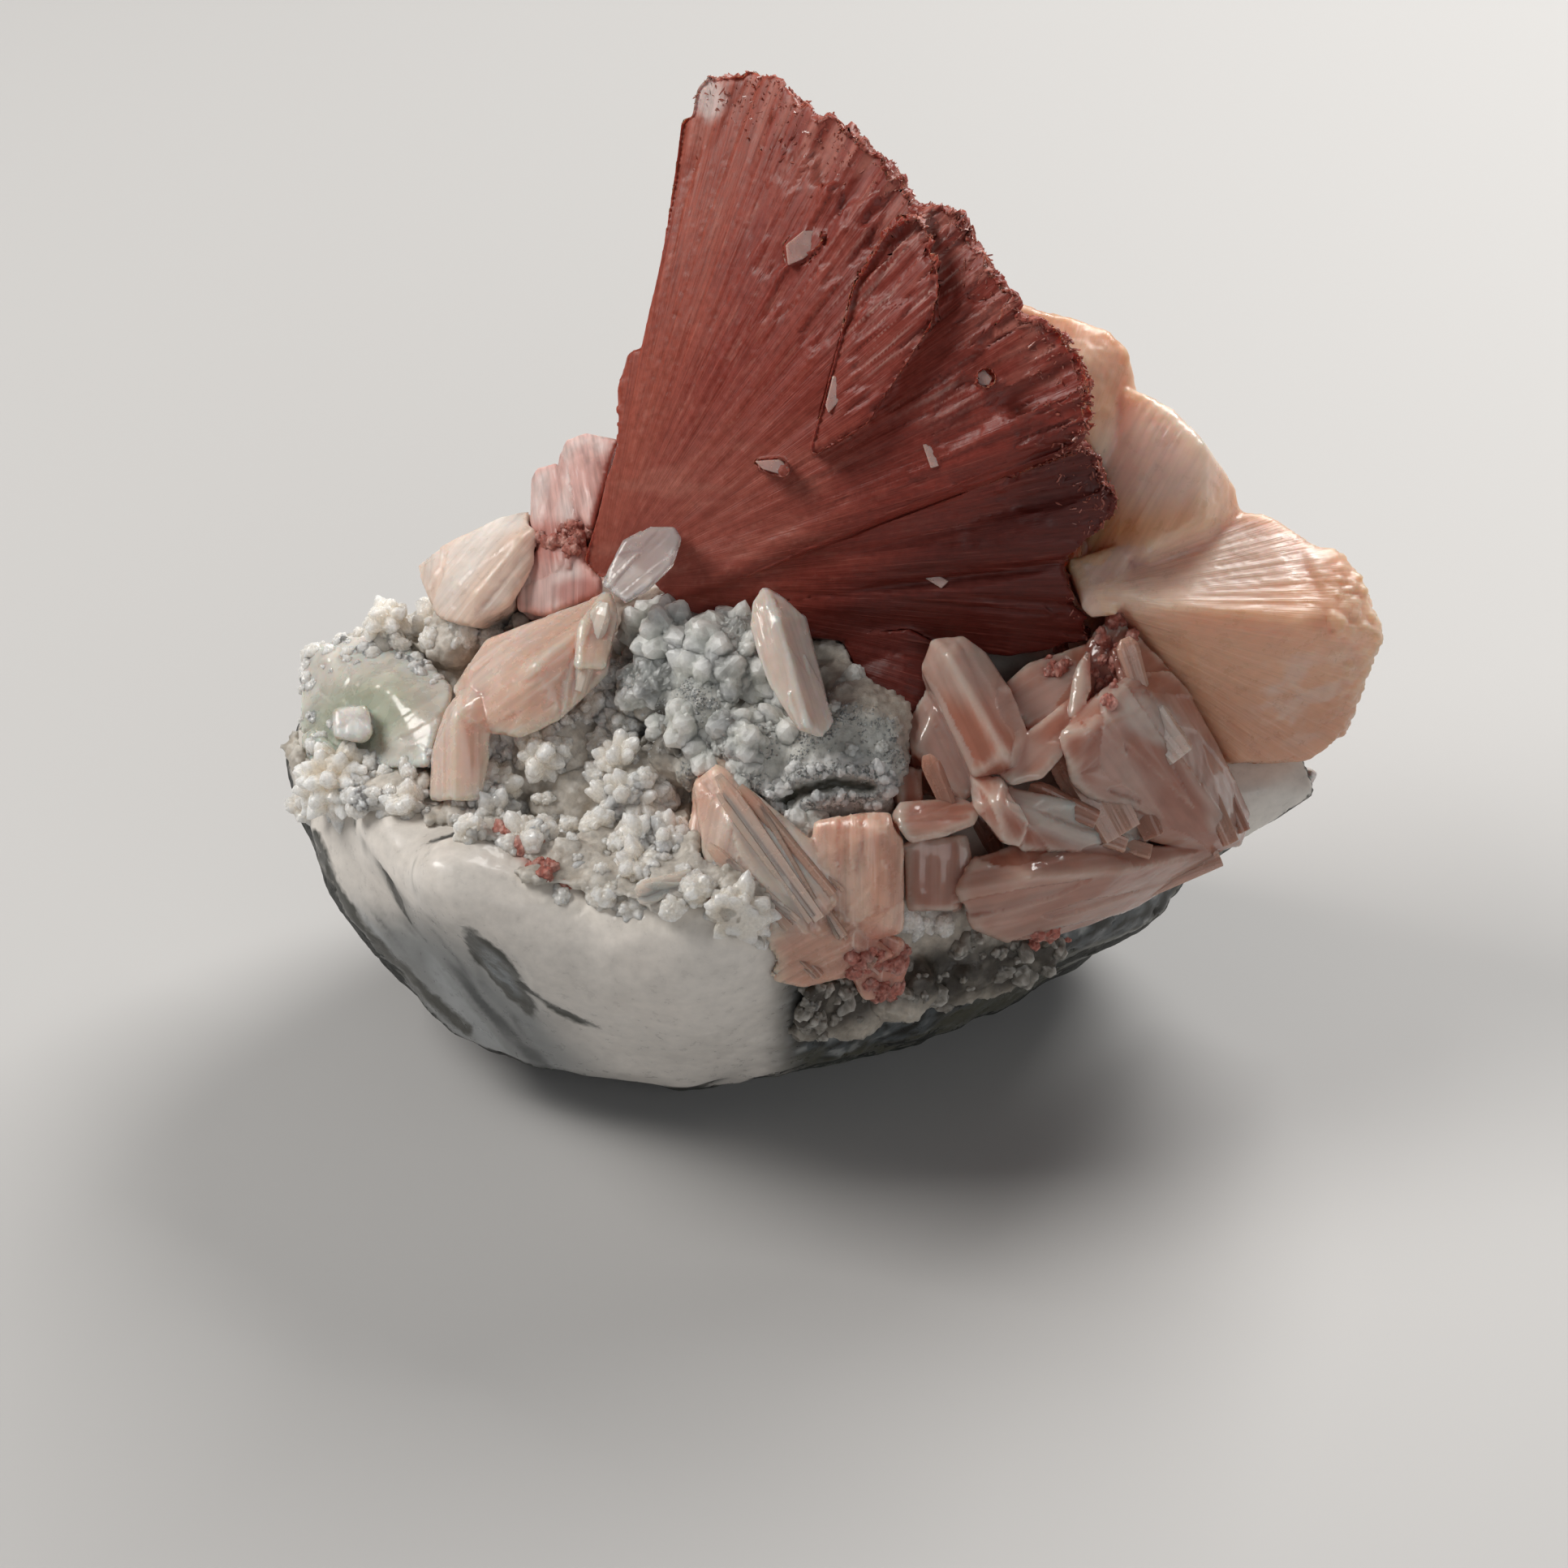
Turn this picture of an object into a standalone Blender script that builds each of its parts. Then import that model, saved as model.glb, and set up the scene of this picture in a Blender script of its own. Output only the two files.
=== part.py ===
"""A hand-sized group of stilbite and heulandite crystals on a piece of rock.

The rock is a low bowl with a smooth pale lip at the front. A red fan of
stilbite blades stands in its middle, peach, pink and white sheaves stand
round it, and a crust of quartz lumps lines the bowl between them.

Units are metres, +Z is up and the flat face that the rock rests on is at
Z = 0. The forms that show from the front are drawn as points of a drawing
that is seen from the front and above: steps right, steps down, and how many
millimetres the point stands nearer than the drawing's own plane.
"""
import math

import bmesh
import bpy
import numpy as np
from mathutils import Matrix, Vector, noise

MM = 0.001
SHARPEST_GROWTH = 3.0
JOIN_HAIRS = [(0, 0, 0), (0.017, 0.011, -0.013), (-0.023, 0.019, 0.016), (0.031, -0.027, 0.021),
              (-0.037, -0.033, -0.029), (0.045, 0.041, 0.037)]
MERGE_HAIRS = [0.004, 0.001, 0.0001, 0.0]

# Driving dimensions, in millimetres
TOUCH_GAP = 0.3
CUT_GAP = TOUCH_GAP * 1.8
REST_MIDDLE = Vector((4, 9, 0))
REST_FLATNESS = 0.05
ROCK_ROUGHNESS = 0.7
FAN_THICKNESS = 9.0
FAN_ROOT_THICKNESS = 6.0
FAN_PLATE_HEIGHT = 0.7
PLATE_THICKNESS = 2.2
CRUST_THICKNESS = 1.3
SHEAF_THICKNESS = 12.0
BLOCK_THICKNESS = 9.0
BLADE_THICKNESS = 7.0
PRISM_THICKNESS = 6.0
SLIVER_THICKNESS = 3.0

# Shares, rates and angles
FLAT_ANGLE = math.radians(0.5)
ROCK_ROUGHNESS_RATE = 9.0
FAN_BACK_TAPER = 0.06
SHEAF_TAPER = 0.7
MOUTH_TAPER = 0.8
CRYSTAL_TAPER = 0.86
STRAIGHT_TAPER = 0.96
LUMP_KNOB = 0.16
LUMP_KNOB_RATE = 2.3
LUMP_FLATNESS = 0.9
FACES_VIEWER = -0.1

# The drawing: seen from 35 degrees above the floor and 301 mm away
VIEW_ELEVATION = math.radians(35.0)
VIEW_DISTANCE = 301.4
DRAWING_STEP = 0.07
DRAWING_MIDDLE = 966
FLOOR_POINT = (900, 1300)

VIEW_ALONG = Vector((0, math.cos(VIEW_ELEVATION), -math.sin(VIEW_ELEVATION)))
VIEW_UP = Vector((0, math.sin(VIEW_ELEVATION), math.cos(VIEW_ELEVATION)))
VIEW_RIGHT = Vector((1, 0, 0))


def drawing_offset(right, down, distance):
    """The place of a drawing point, from the viewer, at a distance in mm."""
    scale = DRAWING_STEP * distance / VIEW_DISTANCE
    across = VIEW_RIGHT * (right - DRAWING_MIDDLE) * scale
    upward = VIEW_UP * (DRAWING_MIDDLE - down) * scale
    return VIEW_ALONG * distance + across + upward


VIEWER = -drawing_offset(*FLOOR_POINT, VIEW_DISTANCE)


def seen(right, down, near):
    """World place in mm of a drawing point that stands `near` mm forward."""
    return VIEWER + drawing_offset(right, down, VIEW_DISTANCE - near)


# The rock, by points that its surface passes through.
# Seen points: the lip, the outline, the right rim, the bowl's floor.
ROCK_LIP = [(368, 930, 8), (388, 1000, 11), (500, 990, 18), (610, 1035, 25), (690, 1092, 28),
            (790, 1120, 30), (850, 1176, 31), (890, 1116, 32), (935, 1175, 30), (940, 1240, 24),
            (640, 1080, 28), (700, 1145, 29), (440, 1010, 15)]
ROCK_OUTLINE = [(376, 985, 9), (405, 1065, 11), (455, 1138, 12), (512, 1210, 10), (560, 1268, 9),
                (622, 1298, 10), (700, 1316, 11), (780, 1327, 12), (855, 1332, 12), (1000, 1310, 9),
                (1200, 1250, 3), (1350, 1170, 4), (1440, 1112, 5), (1530, 1035, 6), (1598, 990, 6)]
ROCK_WALL = [(470, 1080, 16), (575, 1165, 22), (600, 1225, 16), (700, 1230, 24), (760, 1270, 20),
             (850, 1250, 26), (900, 1300, 17)]
ROCK_RIM = [(1000, 1285, 15), (1060, 1215, 15), (1100, 1250, 12), (1200, 1222, 10), (1300, 1178, 8),
            (1400, 1118, 9), (1500, 1040, 8)]
ROCK_FLOOR = [(470, 880, 8), (600, 800, 6), (590, 930, 11), (640, 1000, 15), (700, 900, 11),
              (740, 1040, 18), (720, 960, 13), (850, 850, 17), (840, 1030, 22), (1000, 930, 23),
              (1050, 1080, 21), (1150, 1130, 16), (1200, 1000, 18), (1300, 950, 15),
              (1400, 1000, 12), (1450, 930, 8), (1250, 850, 13), (1100, 850, 17), (900, 760, 12),
              (700, 760, 7), (1400, 800, 5), (1560, 960, 3)]
# Points of the back and the underside, which the drawing hides, in mm.
ROCK_BACK = [(0, 31, 14), (-24, 27, 13), (26, 29, 14), (42, 21, 17), (-35, 18, 19), (0, 28, 30),
             (-18, 25, 31), (24, 25, 29), (40, 18, 26), (-33, 18, 28), (47, 12, 22)]
ROCK_UNDER = [(-14, 18, 0), (22, 18, 0), (4, 27, 3), (4, 8, -3), (-16, 5, -1), (18, 7, -1),
              (-26, 14, 5), (36, 14, 7), (2, -1, 0), (-12, 0, 1), (30, 22, 5), (-2, 16, -3)]
ROCK_CENTRE = Vector((4, 7, 11))
ROCK_SOFTNESS = 0.12
ROCK_SPLITS = 5
ROCK_FACE_SHARE = 0.3

# The bowl that the crust lines, as its outline in the drawing
BOWL_EDGE = [(385, 840), (470, 780), (620, 690), (760, 740), (1010, 750), (1060, 800), (1110, 880),
             (1125, 1000), (1200, 1125), (1330, 1135), (1330, 1165), (1190, 1215), (1080, 1250),
             (985, 1265), (975, 1190), (900, 1095), (800, 1115), (690, 1085), (630, 1030),
             (500, 985), (395, 985)]

# Rounded lumps of the crust: place, radius, and how deep the centre lies
QUARTZ_LUMPS = [(690, 920, 19, 4.6, 3.4), (635, 905, 17, 4.0, 3.0), (750, 925, 19, 3.8, 3.2),
                (640, 965, 18, 4.2, 3.2), (715, 990, 20, 4.8, 3.8), (785, 965, 22, 4.2, 3.4),
                (775, 1010, 22, 3.8, 3.2), (735, 835, 17, 3.6, 2.8), (760, 880, 18, 3.8, 3.0),
                (665, 770, 11, 3.4, 2.6), (620, 775, 10, 3.4, 2.4), (560, 785, 10, 3.2, 2.6),
                (505, 780, 8, 3.0, 2.2), (600, 650, 8, 1.6, 1.6), (475, 975, 15, 2.8, 2.4),
                (430, 990, 13, 2.6, 2.2), (555, 975, 18, 3.4, 3.0), (590, 1005, 21, 3.0, 2.4),
                (660, 1055, 26, 2.8, 2.2), (715, 1070, 27, 3.0, 2.4), (800, 1055, 27, 3.2, 2.6),
                (825, 1095, 31, 3.2, 2.4), (765, 1045, 25, 2.8, 2.4), (880, 1100, 32, 2.6, 2.2),
                (1150, 1095, 27, 3.0, 3.0), (1135, 1070, 27, 2.2, 2.2), (980, 1235, 20, 3.2, 2.6),
                (1040, 1235, 17, 3.4, 2.6), (1110, 1215, 18, 3.2, 2.6), (1180, 1190, 15, 3.2, 2.4),
                (1260, 1165, 13, 3.0, 2.2)]
CHALCEDONY_LUMPS = [(880, 775, 21, 4.6, 3.8), (840, 800, 22, 4.0, 3.4), (830, 840, 23, 4.0, 3.6),
                    (880, 865, 25, 4.2, 3.4), (910, 810, 25, 3.0, 2.6), (1040, 850, 22, 4.0, 3.2),
                    (880, 930, 25, 4.0, 3.2), (940, 920, 27, 4.2, 3.8), (920, 975, 28, 2.8, 2.6),
                    (1000, 920, 27, 4.4, 3.8), (1060, 900, 27, 4.0, 3.4), (1010, 955, 28, 4.6, 4.2),
                    (1070, 950, 28, 4.0, 3.8), (960, 1030, 28, 3.6, 3.0), (850, 920, 24, 3.0, 2.6),
                    (1020, 790, 20, 2.8, 2.4)]
CRUST_FACE_SHARE = 0.27
TUBE_MOUTH = [(962, 985), (985, 972), (1030, 962), (1062, 962), (1080, 978), (1060, 988),
              (1020, 990), (975, 998)]
TUBE_MOUTH_NEAR = 34.0
TUBE_MOUTH_DEPTH = 5.0


def convex_mesh(points, grow=0.0):
    """A bmesh with the convex hull of points in mm, its faces moved out."""
    bm = bmesh.new()
    for point in points:
        bm.verts.new(point * MM)
    hull = bmesh.ops.convex_hull(bm, input=bm.verts)
    loose = {item for item in hull["geom_interior"] + hull["geom_unused"]
             if isinstance(item, bmesh.types.BMVert)}
    bmesh.ops.delete(bm, geom=list(loose), context="VERTS")
    bmesh.ops.dissolve_limit(bm, angle_limit=FLAT_ANGLE, verts=bm.verts, edges=bm.edges)
    bmesh.ops.recalc_face_normals(bm, faces=bm.faces)
    bm.normal_update()
    if grow:
        steps = [(vert, vert.normal * min(vert.calc_shell_factor(), SHARPEST_GROWTH))
                 for vert in bm.verts]
        for vert, step in steps:
            vert.co += step * grow * MM
    bmesh.ops.triangulate(bm, faces=bm.faces)
    return bm


def slab(front, thickness, taper=CRYSTAL_TAPER, roots=()):
    """Corner points of one crystal: its drawn front, and its far side.

    The far side is the same outline pushed back and drawn in by `taper`.
    `roots` are further points in mm, where the crystal grows from the rock.
    """
    middle_right = sum(point[0] for point in front) / len(front)
    middle_down = sum(point[1] for point in front) / len(front)
    points = [seen(*point) for point in front]
    for right, down, near in front:
        back_right = middle_right + (right - middle_right) * taper
        back_down = middle_down + (down - middle_down) * taper
        points.append(seen(back_right, back_down, near - thickness))
    points.extend(Vector(root) for root in roots)
    return points


def new_object(name, bm):
    """A named object from a bmesh, in place at the origin."""
    mesh = bpy.data.meshes.new(name)
    bm.to_mesh(mesh)
    bm.free()
    piece = bpy.data.objects.new(name, mesh)
    bpy.context.scene.collection.objects.link(piece)
    return piece


def modified_mesh(piece):
    """The mesh that an object's modifiers make of it."""
    graph = bpy.context.evaluated_depsgraph_get()
    return bpy.data.meshes.new_from_object(piece.evaluated_get(graph))


def is_closed(mesh):
    """True where every edge of a mesh has two faces."""
    bm = bmesh.new()
    bm.from_mesh(mesh)
    closed = bool(bm.faces) and all(len(edge.link_faces) == 2 for edge in bm.edges)
    bm.free()
    return closed


def combine(piece, others, operation):
    """Join other closed objects to a piece, or cut them out of it.

    Faces that nearly coincide can leave an open seam, so the other object
    is moved by a hair, and at most a few hairs, until the result closes.
    """
    for other in others:
        boolean = piece.modifiers.new(operation, "BOOLEAN")
        boolean.operation = operation
        boolean.solver = "EXACT"
        boolean.object = other
        for hair in JOIN_HAIRS:
            other.location = Vector(hair) * MM
            bpy.context.view_layer.update()
            mesh = modified_mesh(piece)
            if is_closed(mesh):
                break
        piece.modifiers.clear()
        piece.data = mesh
        bpy.data.objects.remove(other)
    return piece


def thin_out(piece, share):
    """Keep a share of a piece's faces, mostly where its surface bends."""
    thinning = piece.modifiers.new("fewer faces", "DECIMATE")
    thinning.ratio = share
    piece.data = modified_mesh(piece)
    piece.modifiers.clear()
    return piece


def box_of(piece):
    """The lowest and highest corner of a piece, in mm."""
    places = [vert.co / MM for vert in piece.data.vertices]
    low = [min(place[i] for place in places) for i in range(3)]
    high = [max(place[i] for place in places) for i in range(3)]
    return low, high


def body_size(verts):
    """The volume of the box round one body's points."""
    spans = [[vert.co[i] for vert in verts] for i in range(3)]
    return math.prod(max(span) - min(span) for span in spans)


def separate_bodies(bm):
    """The points of each connected body of a bmesh, the largest first."""
    waiting = set(bm.verts)
    bodies = []
    while waiting:
        stack = [waiting.pop()]
        body = set(stack)
        while stack:
            for edge in stack.pop().link_edges:
                for vert in edge.verts:
                    if vert in waiting:
                        waiting.discard(vert)
                        body.add(vert)
                        stack.append(vert)
        bodies.append(body)
    return sorted(bodies, key=body_size, reverse=True)


def largest_body(piece):
    """Keep only the largest closed body of a piece, as cuts leave chips.

    Points closer than a hair are merged first, as long as it stays closed.
    """
    for hair in MERGE_HAIRS:
        bm = bmesh.new()
        bm.from_mesh(piece.data)
        bmesh.ops.remove_doubles(bm, verts=bm.verts, dist=hair * MM)
        bmesh.ops.dissolve_degenerate(bm, edges=bm.edges, dist=hair * MM)
        chips = [vert for body in separate_bodies(bm)[1:] for vert in body]
        bmesh.ops.delete(bm, geom=chips, context="VERTS")
        bmesh.ops.triangulate(bm, faces=bm.faces)
        mesh = bpy.data.meshes.new(piece.name)
        bm.to_mesh(mesh)
        bm.free()
        if is_closed(mesh):
            break
    piece.data = mesh
    return piece


def crystal_group(name, crystals, first=None):
    """One solid from the crystals that grew into each other."""
    pieces = [new_object(name, convex_mesh(points)) for points in crystals]
    if first is None:
        first = pieces.pop(0)
    combine(first, pieces, "UNION")
    first.name = name
    return first


def cut_clear(piece, neighbours):
    """Cut a piece back from the crystals that it grew against."""
    low, high = box_of(piece)
    cutters = []
    for points in (points for crystals in neighbours for points in crystals):
        if all(min(p[i] for p in points) < high[i] and max(p[i] for p in points) > low[i]
               for i in range(3)):
            cutters.append(new_object("cutter", convex_mesh(points, CUT_GAP)))
    return combine(piece, cutters, "DIFFERENCE")


def material(name, colour, roughness, transmission=0.0):
    """A Principled material."""
    made = bpy.data.materials.new(name)
    made.use_nodes = True
    shader = made.node_tree.nodes["Principled BSDF"]
    shader.inputs["Base Color"].default_value = (*colour, 1)
    shader.inputs["Roughness"].default_value = roughness
    shader.inputs["Metallic"].default_value = 0.0
    shader.inputs["Transmission Weight"].default_value = transmission
    made.diffuse_color = (*colour, 1)
    return made


def rock_radius_weights():
    """Weights of the smooth function that passes through the rock's points."""
    drawn = ROCK_LIP + ROCK_OUTLINE + ROCK_WALL + ROCK_RIM + ROCK_FLOOR
    points = [seen(*point) for point in drawn]
    points += [Vector(point) for point in ROCK_BACK + ROCK_UNDER]
    arms = [point - ROCK_CENTRE for point in points]
    ways = np.array([arm.normalized() for arm in arms])
    lengths = np.array([arm.length for arm in arms])
    apart = np.linalg.norm(ways[:, None] - ways[None], axis=2)
    kernel = np.sqrt(apart ** 2 + ROCK_SOFTNESS ** 2)
    mean = lengths.mean()
    return ways, np.linalg.solve(kernel, lengths - mean), mean


def rock_point(way, shape):
    """The rock's surface point in one direction, in mm."""
    ways, weights, mean = shape
    apart = np.linalg.norm(ways - np.array(way), axis=1)
    length = float(np.sqrt(apart ** 2 + ROCK_SOFTNESS ** 2) @ weights) + mean
    length += ROCK_ROUGHNESS * noise.noise(way * ROCK_ROUGHNESS_RATE)
    point = ROCK_CENTRE + way * length
    point.z = max(point.z, 0.0)
    return point


def rock_mesh(shape):
    """The rock's closed surface, with small faces only where it bends."""
    bm = bmesh.new()
    bmesh.ops.create_icosphere(bm, subdivisions=ROCK_SPLITS, radius=1.0)
    for vert in bm.verts:
        vert.co = rock_point(vert.co.normalized(), shape) * MM
    bmesh.ops.recalc_face_normals(bm, faces=bm.faces)
    rock = thin_out(new_object("rock_matrix", bm), ROCK_FACE_SHARE)
    for vert in rock.data.vertices:
        if vert.co.z < REST_FLATNESS * MM:
            vert.co.z = 0.0
    return rock


def grown_rock(rock, extra):
    """A bmesh of the rock's surface moved out from its centre by `extra` mm."""
    bm = bmesh.new()
    bm.from_mesh(rock.data)
    centre = ROCK_CENTRE * MM
    for vert in bm.verts:
        vert.co += (vert.co - centre).normalized() * extra * MM
    return bm


def inside_outline(right, down, outline):
    """True where a drawing point lies inside a drawn outline."""
    inside = False
    last_right, last_down = outline[-1]
    for this_right, this_down in outline:
        if (this_down > down) != (last_down > down):
            share = (down - this_down) / (last_down - this_down)
            if right < this_right + share * (last_right - this_right):
                inside = not inside
        last_right, last_down = this_right, this_down
    return inside


def on_drawing(point):
    """Where a world point in mm falls on the drawing."""
    arm = point - VIEWER
    distance = arm.dot(VIEW_ALONG)
    scale = VIEW_DISTANCE / distance / DRAWING_STEP
    right = DRAWING_MIDDLE + arm.dot(VIEW_RIGHT) * scale
    return right, DRAWING_MIDDLE - arm.dot(VIEW_UP) * scale


def crust_sheet(rock):
    """The thin sheet of quartz that lines the bowl, a little off the rock."""
    bm = grown_rock(rock, TOUCH_GAP * 2)
    outside = []
    for face in bm.faces:
        middle = face.calc_center_median() / MM
        faces_viewer = face.normal.dot(VIEW_ALONG) < FACES_VIEWER
        if not faces_viewer or not inside_outline(*on_drawing(middle), BOWL_EDGE):
            outside.append(face)
    bmesh.ops.delete(bm, geom=outside, context="FACES")
    pinched = [vert for vert in bm.verts if sum(edge.is_boundary for edge in vert.link_edges) > 2]
    bmesh.ops.delete(bm, geom=pinched, context="VERTS")
    centre = ROCK_CENTRE * MM
    top = bmesh.ops.extrude_face_region(bm, geom=list(bm.faces), use_keep_orig=True)
    for vert in (item for item in top["geom"] if isinstance(item, bmesh.types.BMVert)):
        vert.co += (vert.co - centre).normalized() * CRUST_THICKNESS * MM
    bmesh.ops.recalc_face_normals(bm, faces=bm.faces)
    return bm


def lump(right, down, near, radius, height):
    """One rounded, knobbly lump, as points of its surface in mm."""
    bm = bmesh.new()
    bmesh.ops.create_icosphere(bm, subdivisions=2, radius=1.0)
    middle = seen(right, down, near - height)
    for vert in bm.verts:
        way = vert.co.normalized()
        knob = 1.0 + LUMP_KNOB * noise.noise(way * LUMP_KNOB_RATE + middle)
        squat = Vector((way.x, way.y, way.z * LUMP_FLATNESS))
        vert.co = (middle + squat * radius * knob) * MM
    bmesh.ops.recalc_face_normals(bm, faces=bm.faces)
    return bm


# The red fan: its jagged edge from the lower left round to the lower right.
# Each point is the end of a rib that runs back to the root.
FAN_EDGE = [(722, 692, 18), (738, 640, 18.2), (750, 590, 18.4), (766, 545, 18.6), (762, 480, 18.4),
            (776, 436, 18.2), (792, 432, 18.8), (800, 392, 19.2), (822, 300, 19.6),
            (832, 235, 19.8), (843, 145, 19.6), (856, 143, 20.2), (862, 104, 20.4),
            (884, 92, 21.2), (905, 88, 22), (935, 94, 23), (962, 101, 24.6), (984, 120, 25),
            (1012, 141, 27), (1036, 150, 27.4), (1060, 166, 28.8), (1076, 182, 28.8),
            (1092, 193, 30), (1112, 218, 30.2), (1130, 252, 31), (1150, 250, 32.2),
            (1172, 256, 32.4), (1190, 266, 33), (1203, 296, 32.8), (1226, 330, 34.2),
            (1234, 352, 34.2), (1252, 376, 35.2), (1286, 398, 35.6), (1306, 422, 36.4),
            (1326, 448, 36), (1338, 472, 36.8), (1345, 520, 35.6), (1326, 544, 33),
            (1336, 548, 29.4), (1352, 566, 29), (1368, 594, 27.6), (1373, 612, 27.6),
            (1364, 642, 26.8), (1322, 680, 25), (1310, 692, 24), (1311, 716, 24),
            (1320, 742, 22.6), (1341, 784, 20.6), (1288, 800, 20), (1242, 806, 19.6)]
FAN_RADII = [0.06, 0.4, 0.75, 1.0]
FAN_ROOT_LEFT = (742, 712, 18.4)
FAN_ROOT_RIGHT = (812, 768, 20.4)
FAN_RIB_DEPTH = 0.9
FAN_RIB_PITCH = 0.83
FAN_FLAT_SHARE = 0.12
FAN_SECTOR_RIBS = 4
FAN_MIDDLE = Vector((1040, 480))
FAN_FOOT = [(-6, 12, 28), (12, 10, 28), (8, 18, 30)]
# The blade that stands proud of the fan's face and ends short of its edge
FAN_RAISED_BLADE = [(1000, 560, 29.6), (1056, 352, 31.6), (1100, 282, 33.6), (1130, 262, 34),
                    (1154, 330, 35.4), (1148, 392, 34.8), (1066, 520, 31.6)]
# The darker red lump that the fan's right half grew from
FAN_CHUNK = [(1040, 785, 20), (1120, 778, 22), (1160, 800, 22), (1175, 860, 22), (1110, 892, 23),
             (1075, 850, 22)]
# How far forward the fan's flat face stands, and how it turns and leans
FAN_FACE_NEAR = 28.4
FAN_FACE_TURN = 0.034
FAN_FACE_LEAN = 0.0056
# Outlines of the small clear plates on the fan's face
FAN_PLATES = [
    [(968, 302), (990, 285), (1012, 285), (1012, 300), (990, 318), (972, 326)],
    [(930, 568), (962, 566), (972, 578), (966, 586), (940, 578)],
    [(1204, 462), (1212, 456), (1222, 466), (1218, 476), (1206, 474)],
    [(1018, 500), (1026, 464), (1040, 466), (1036, 492), (1022, 508)],
    [(1138, 548), (1148, 545), (1156, 574), (1148, 576)],
    [(1142, 700), (1168, 716), (1160, 724), (1140, 712)],
]


def fan_near(right, down):
    """How far forward the fan's flat face stands at a drawing point."""
    turn = FAN_FACE_TURN * (right - DRAWING_MIDDLE)
    return FAN_FACE_NEAR + turn - FAN_FACE_LEAN * (DRAWING_MIDDLE - down)


def fan_rows():
    """Points of the fan's ribbed front and plainer back, row by row."""
    last = len(FAN_EDGE) - 1
    front, back = [], []
    for station, tip in enumerate(FAN_EDGE):
        share = station / last
        root = Vector(FAN_ROOT_LEFT).lerp(Vector(FAN_ROOT_RIGHT), share)
        rib = FAN_RIB_DEPTH * noise.noise(Vector((station * FAN_RIB_PITCH, 0, 0)))
        rib *= FAN_FLAT_SHARE + (1 - FAN_FLAT_SHARE) * share
        front_row, back_row = [], []
        for radius in FAN_RADII:
            place = root.lerp(Vector(tip), radius)
            thickness = FAN_ROOT_THICKNESS + (FAN_THICKNESS - FAN_ROOT_THICKNESS) * radius
            behind = place.xy.lerp(FAN_MIDDLE, FAN_BACK_TAPER)
            front_row.append(seen(*place.xy, place.z + rib * radius))
            back_row.append(seen(*behind, place.z - thickness - rib))
        front.append(front_row)
        back.append(back_row)
    return front, back


def fan_body():
    """A bmesh of the fan's one closed surface."""
    bm = bmesh.new()
    front, back = ([[bm.verts.new(point * MM) for point in row] for row in rows]
                   for rows in fan_rows())
    last = len(front) - 1
    outer = len(FAN_RADII) - 1
    for this in range(last):
        after = this + 1
        for ring in range(outer):
            bm.faces.new((front[this][ring], front[after][ring],
                          front[after][ring + 1], front[this][ring + 1]))
            bm.faces.new((back[this][ring], back[this][ring + 1],
                          back[after][ring + 1], back[after][ring]))
        for ring in (0, outer):
            bm.faces.new((front[this][ring], back[this][ring],
                          back[after][ring], front[after][ring]))
    for station in (0, last):
        for ring in range(outer):
            bm.faces.new((front[station][ring], front[station][ring + 1],
                          back[station][ring + 1], back[station][ring]))
    bmesh.ops.triangulate(bm, faces=bm.faces)
    bmesh.ops.recalc_face_normals(bm, faces=bm.faces)
    return bm


def fan_sectors():
    """Corner points of the fan's sectors, each nearly convex."""
    front, back = fan_rows()
    sectors = []
    for start in range(0, len(front) - 1, FAN_SECTOR_RIBS):
        stations = range(start, min(start + FAN_SECTOR_RIBS, len(front) - 1) + 1)
        sectors.append([rows[station][ring] for rows in (front, back)
                        for station in stations for ring in (0, -1)])
    return sectors


def fan_additions():
    """Corner points of what grew on the fan: lump, foot, blade and plates."""
    raised = [seen(*point) for point in FAN_RAISED_BLADE]
    raised += [seen(right, down, near - PRISM_THICKNESS)
               for right, down, near in FAN_RAISED_BLADE]
    foot = [(770, 752, 16), (860, 770, 18), (1000, 772, 19), (1100, 778, 18), (900, 700, 13)]
    foot_points = [seen(*point) for point in foot] + [Vector(point) for point in FAN_FOOT]
    crystals = [slab(FAN_CHUNK, SHEAF_THICKNESS, CRYSTAL_TAPER, [(10, 8, 27), (14, 14, 27)]),
                foot_points, raised]
    for outline in FAN_PLATES:
        front = [(right, down, fan_near(right, down) + FAN_RIB_DEPTH + FAN_PLATE_HEIGHT)
                 for right, down in outline]
        crystals.append(slab(front, SLIVER_THICKNESS, 1.0))
    return crystals


def heulandite_plate():
    """The large clear plate that leans on the fan's lower left."""
    front = [(746, 722, 24.4), (754, 700, 24), (770, 668, 23.6), (802, 652, 23.4), (830, 652, 23.8),
             (838, 664, 24), (826, 696, 24.6), (796, 726, 25), (771, 740, 25)]
    return [slab(front, PLATE_THICKNESS, STRAIGHT_TAPER)]


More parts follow.
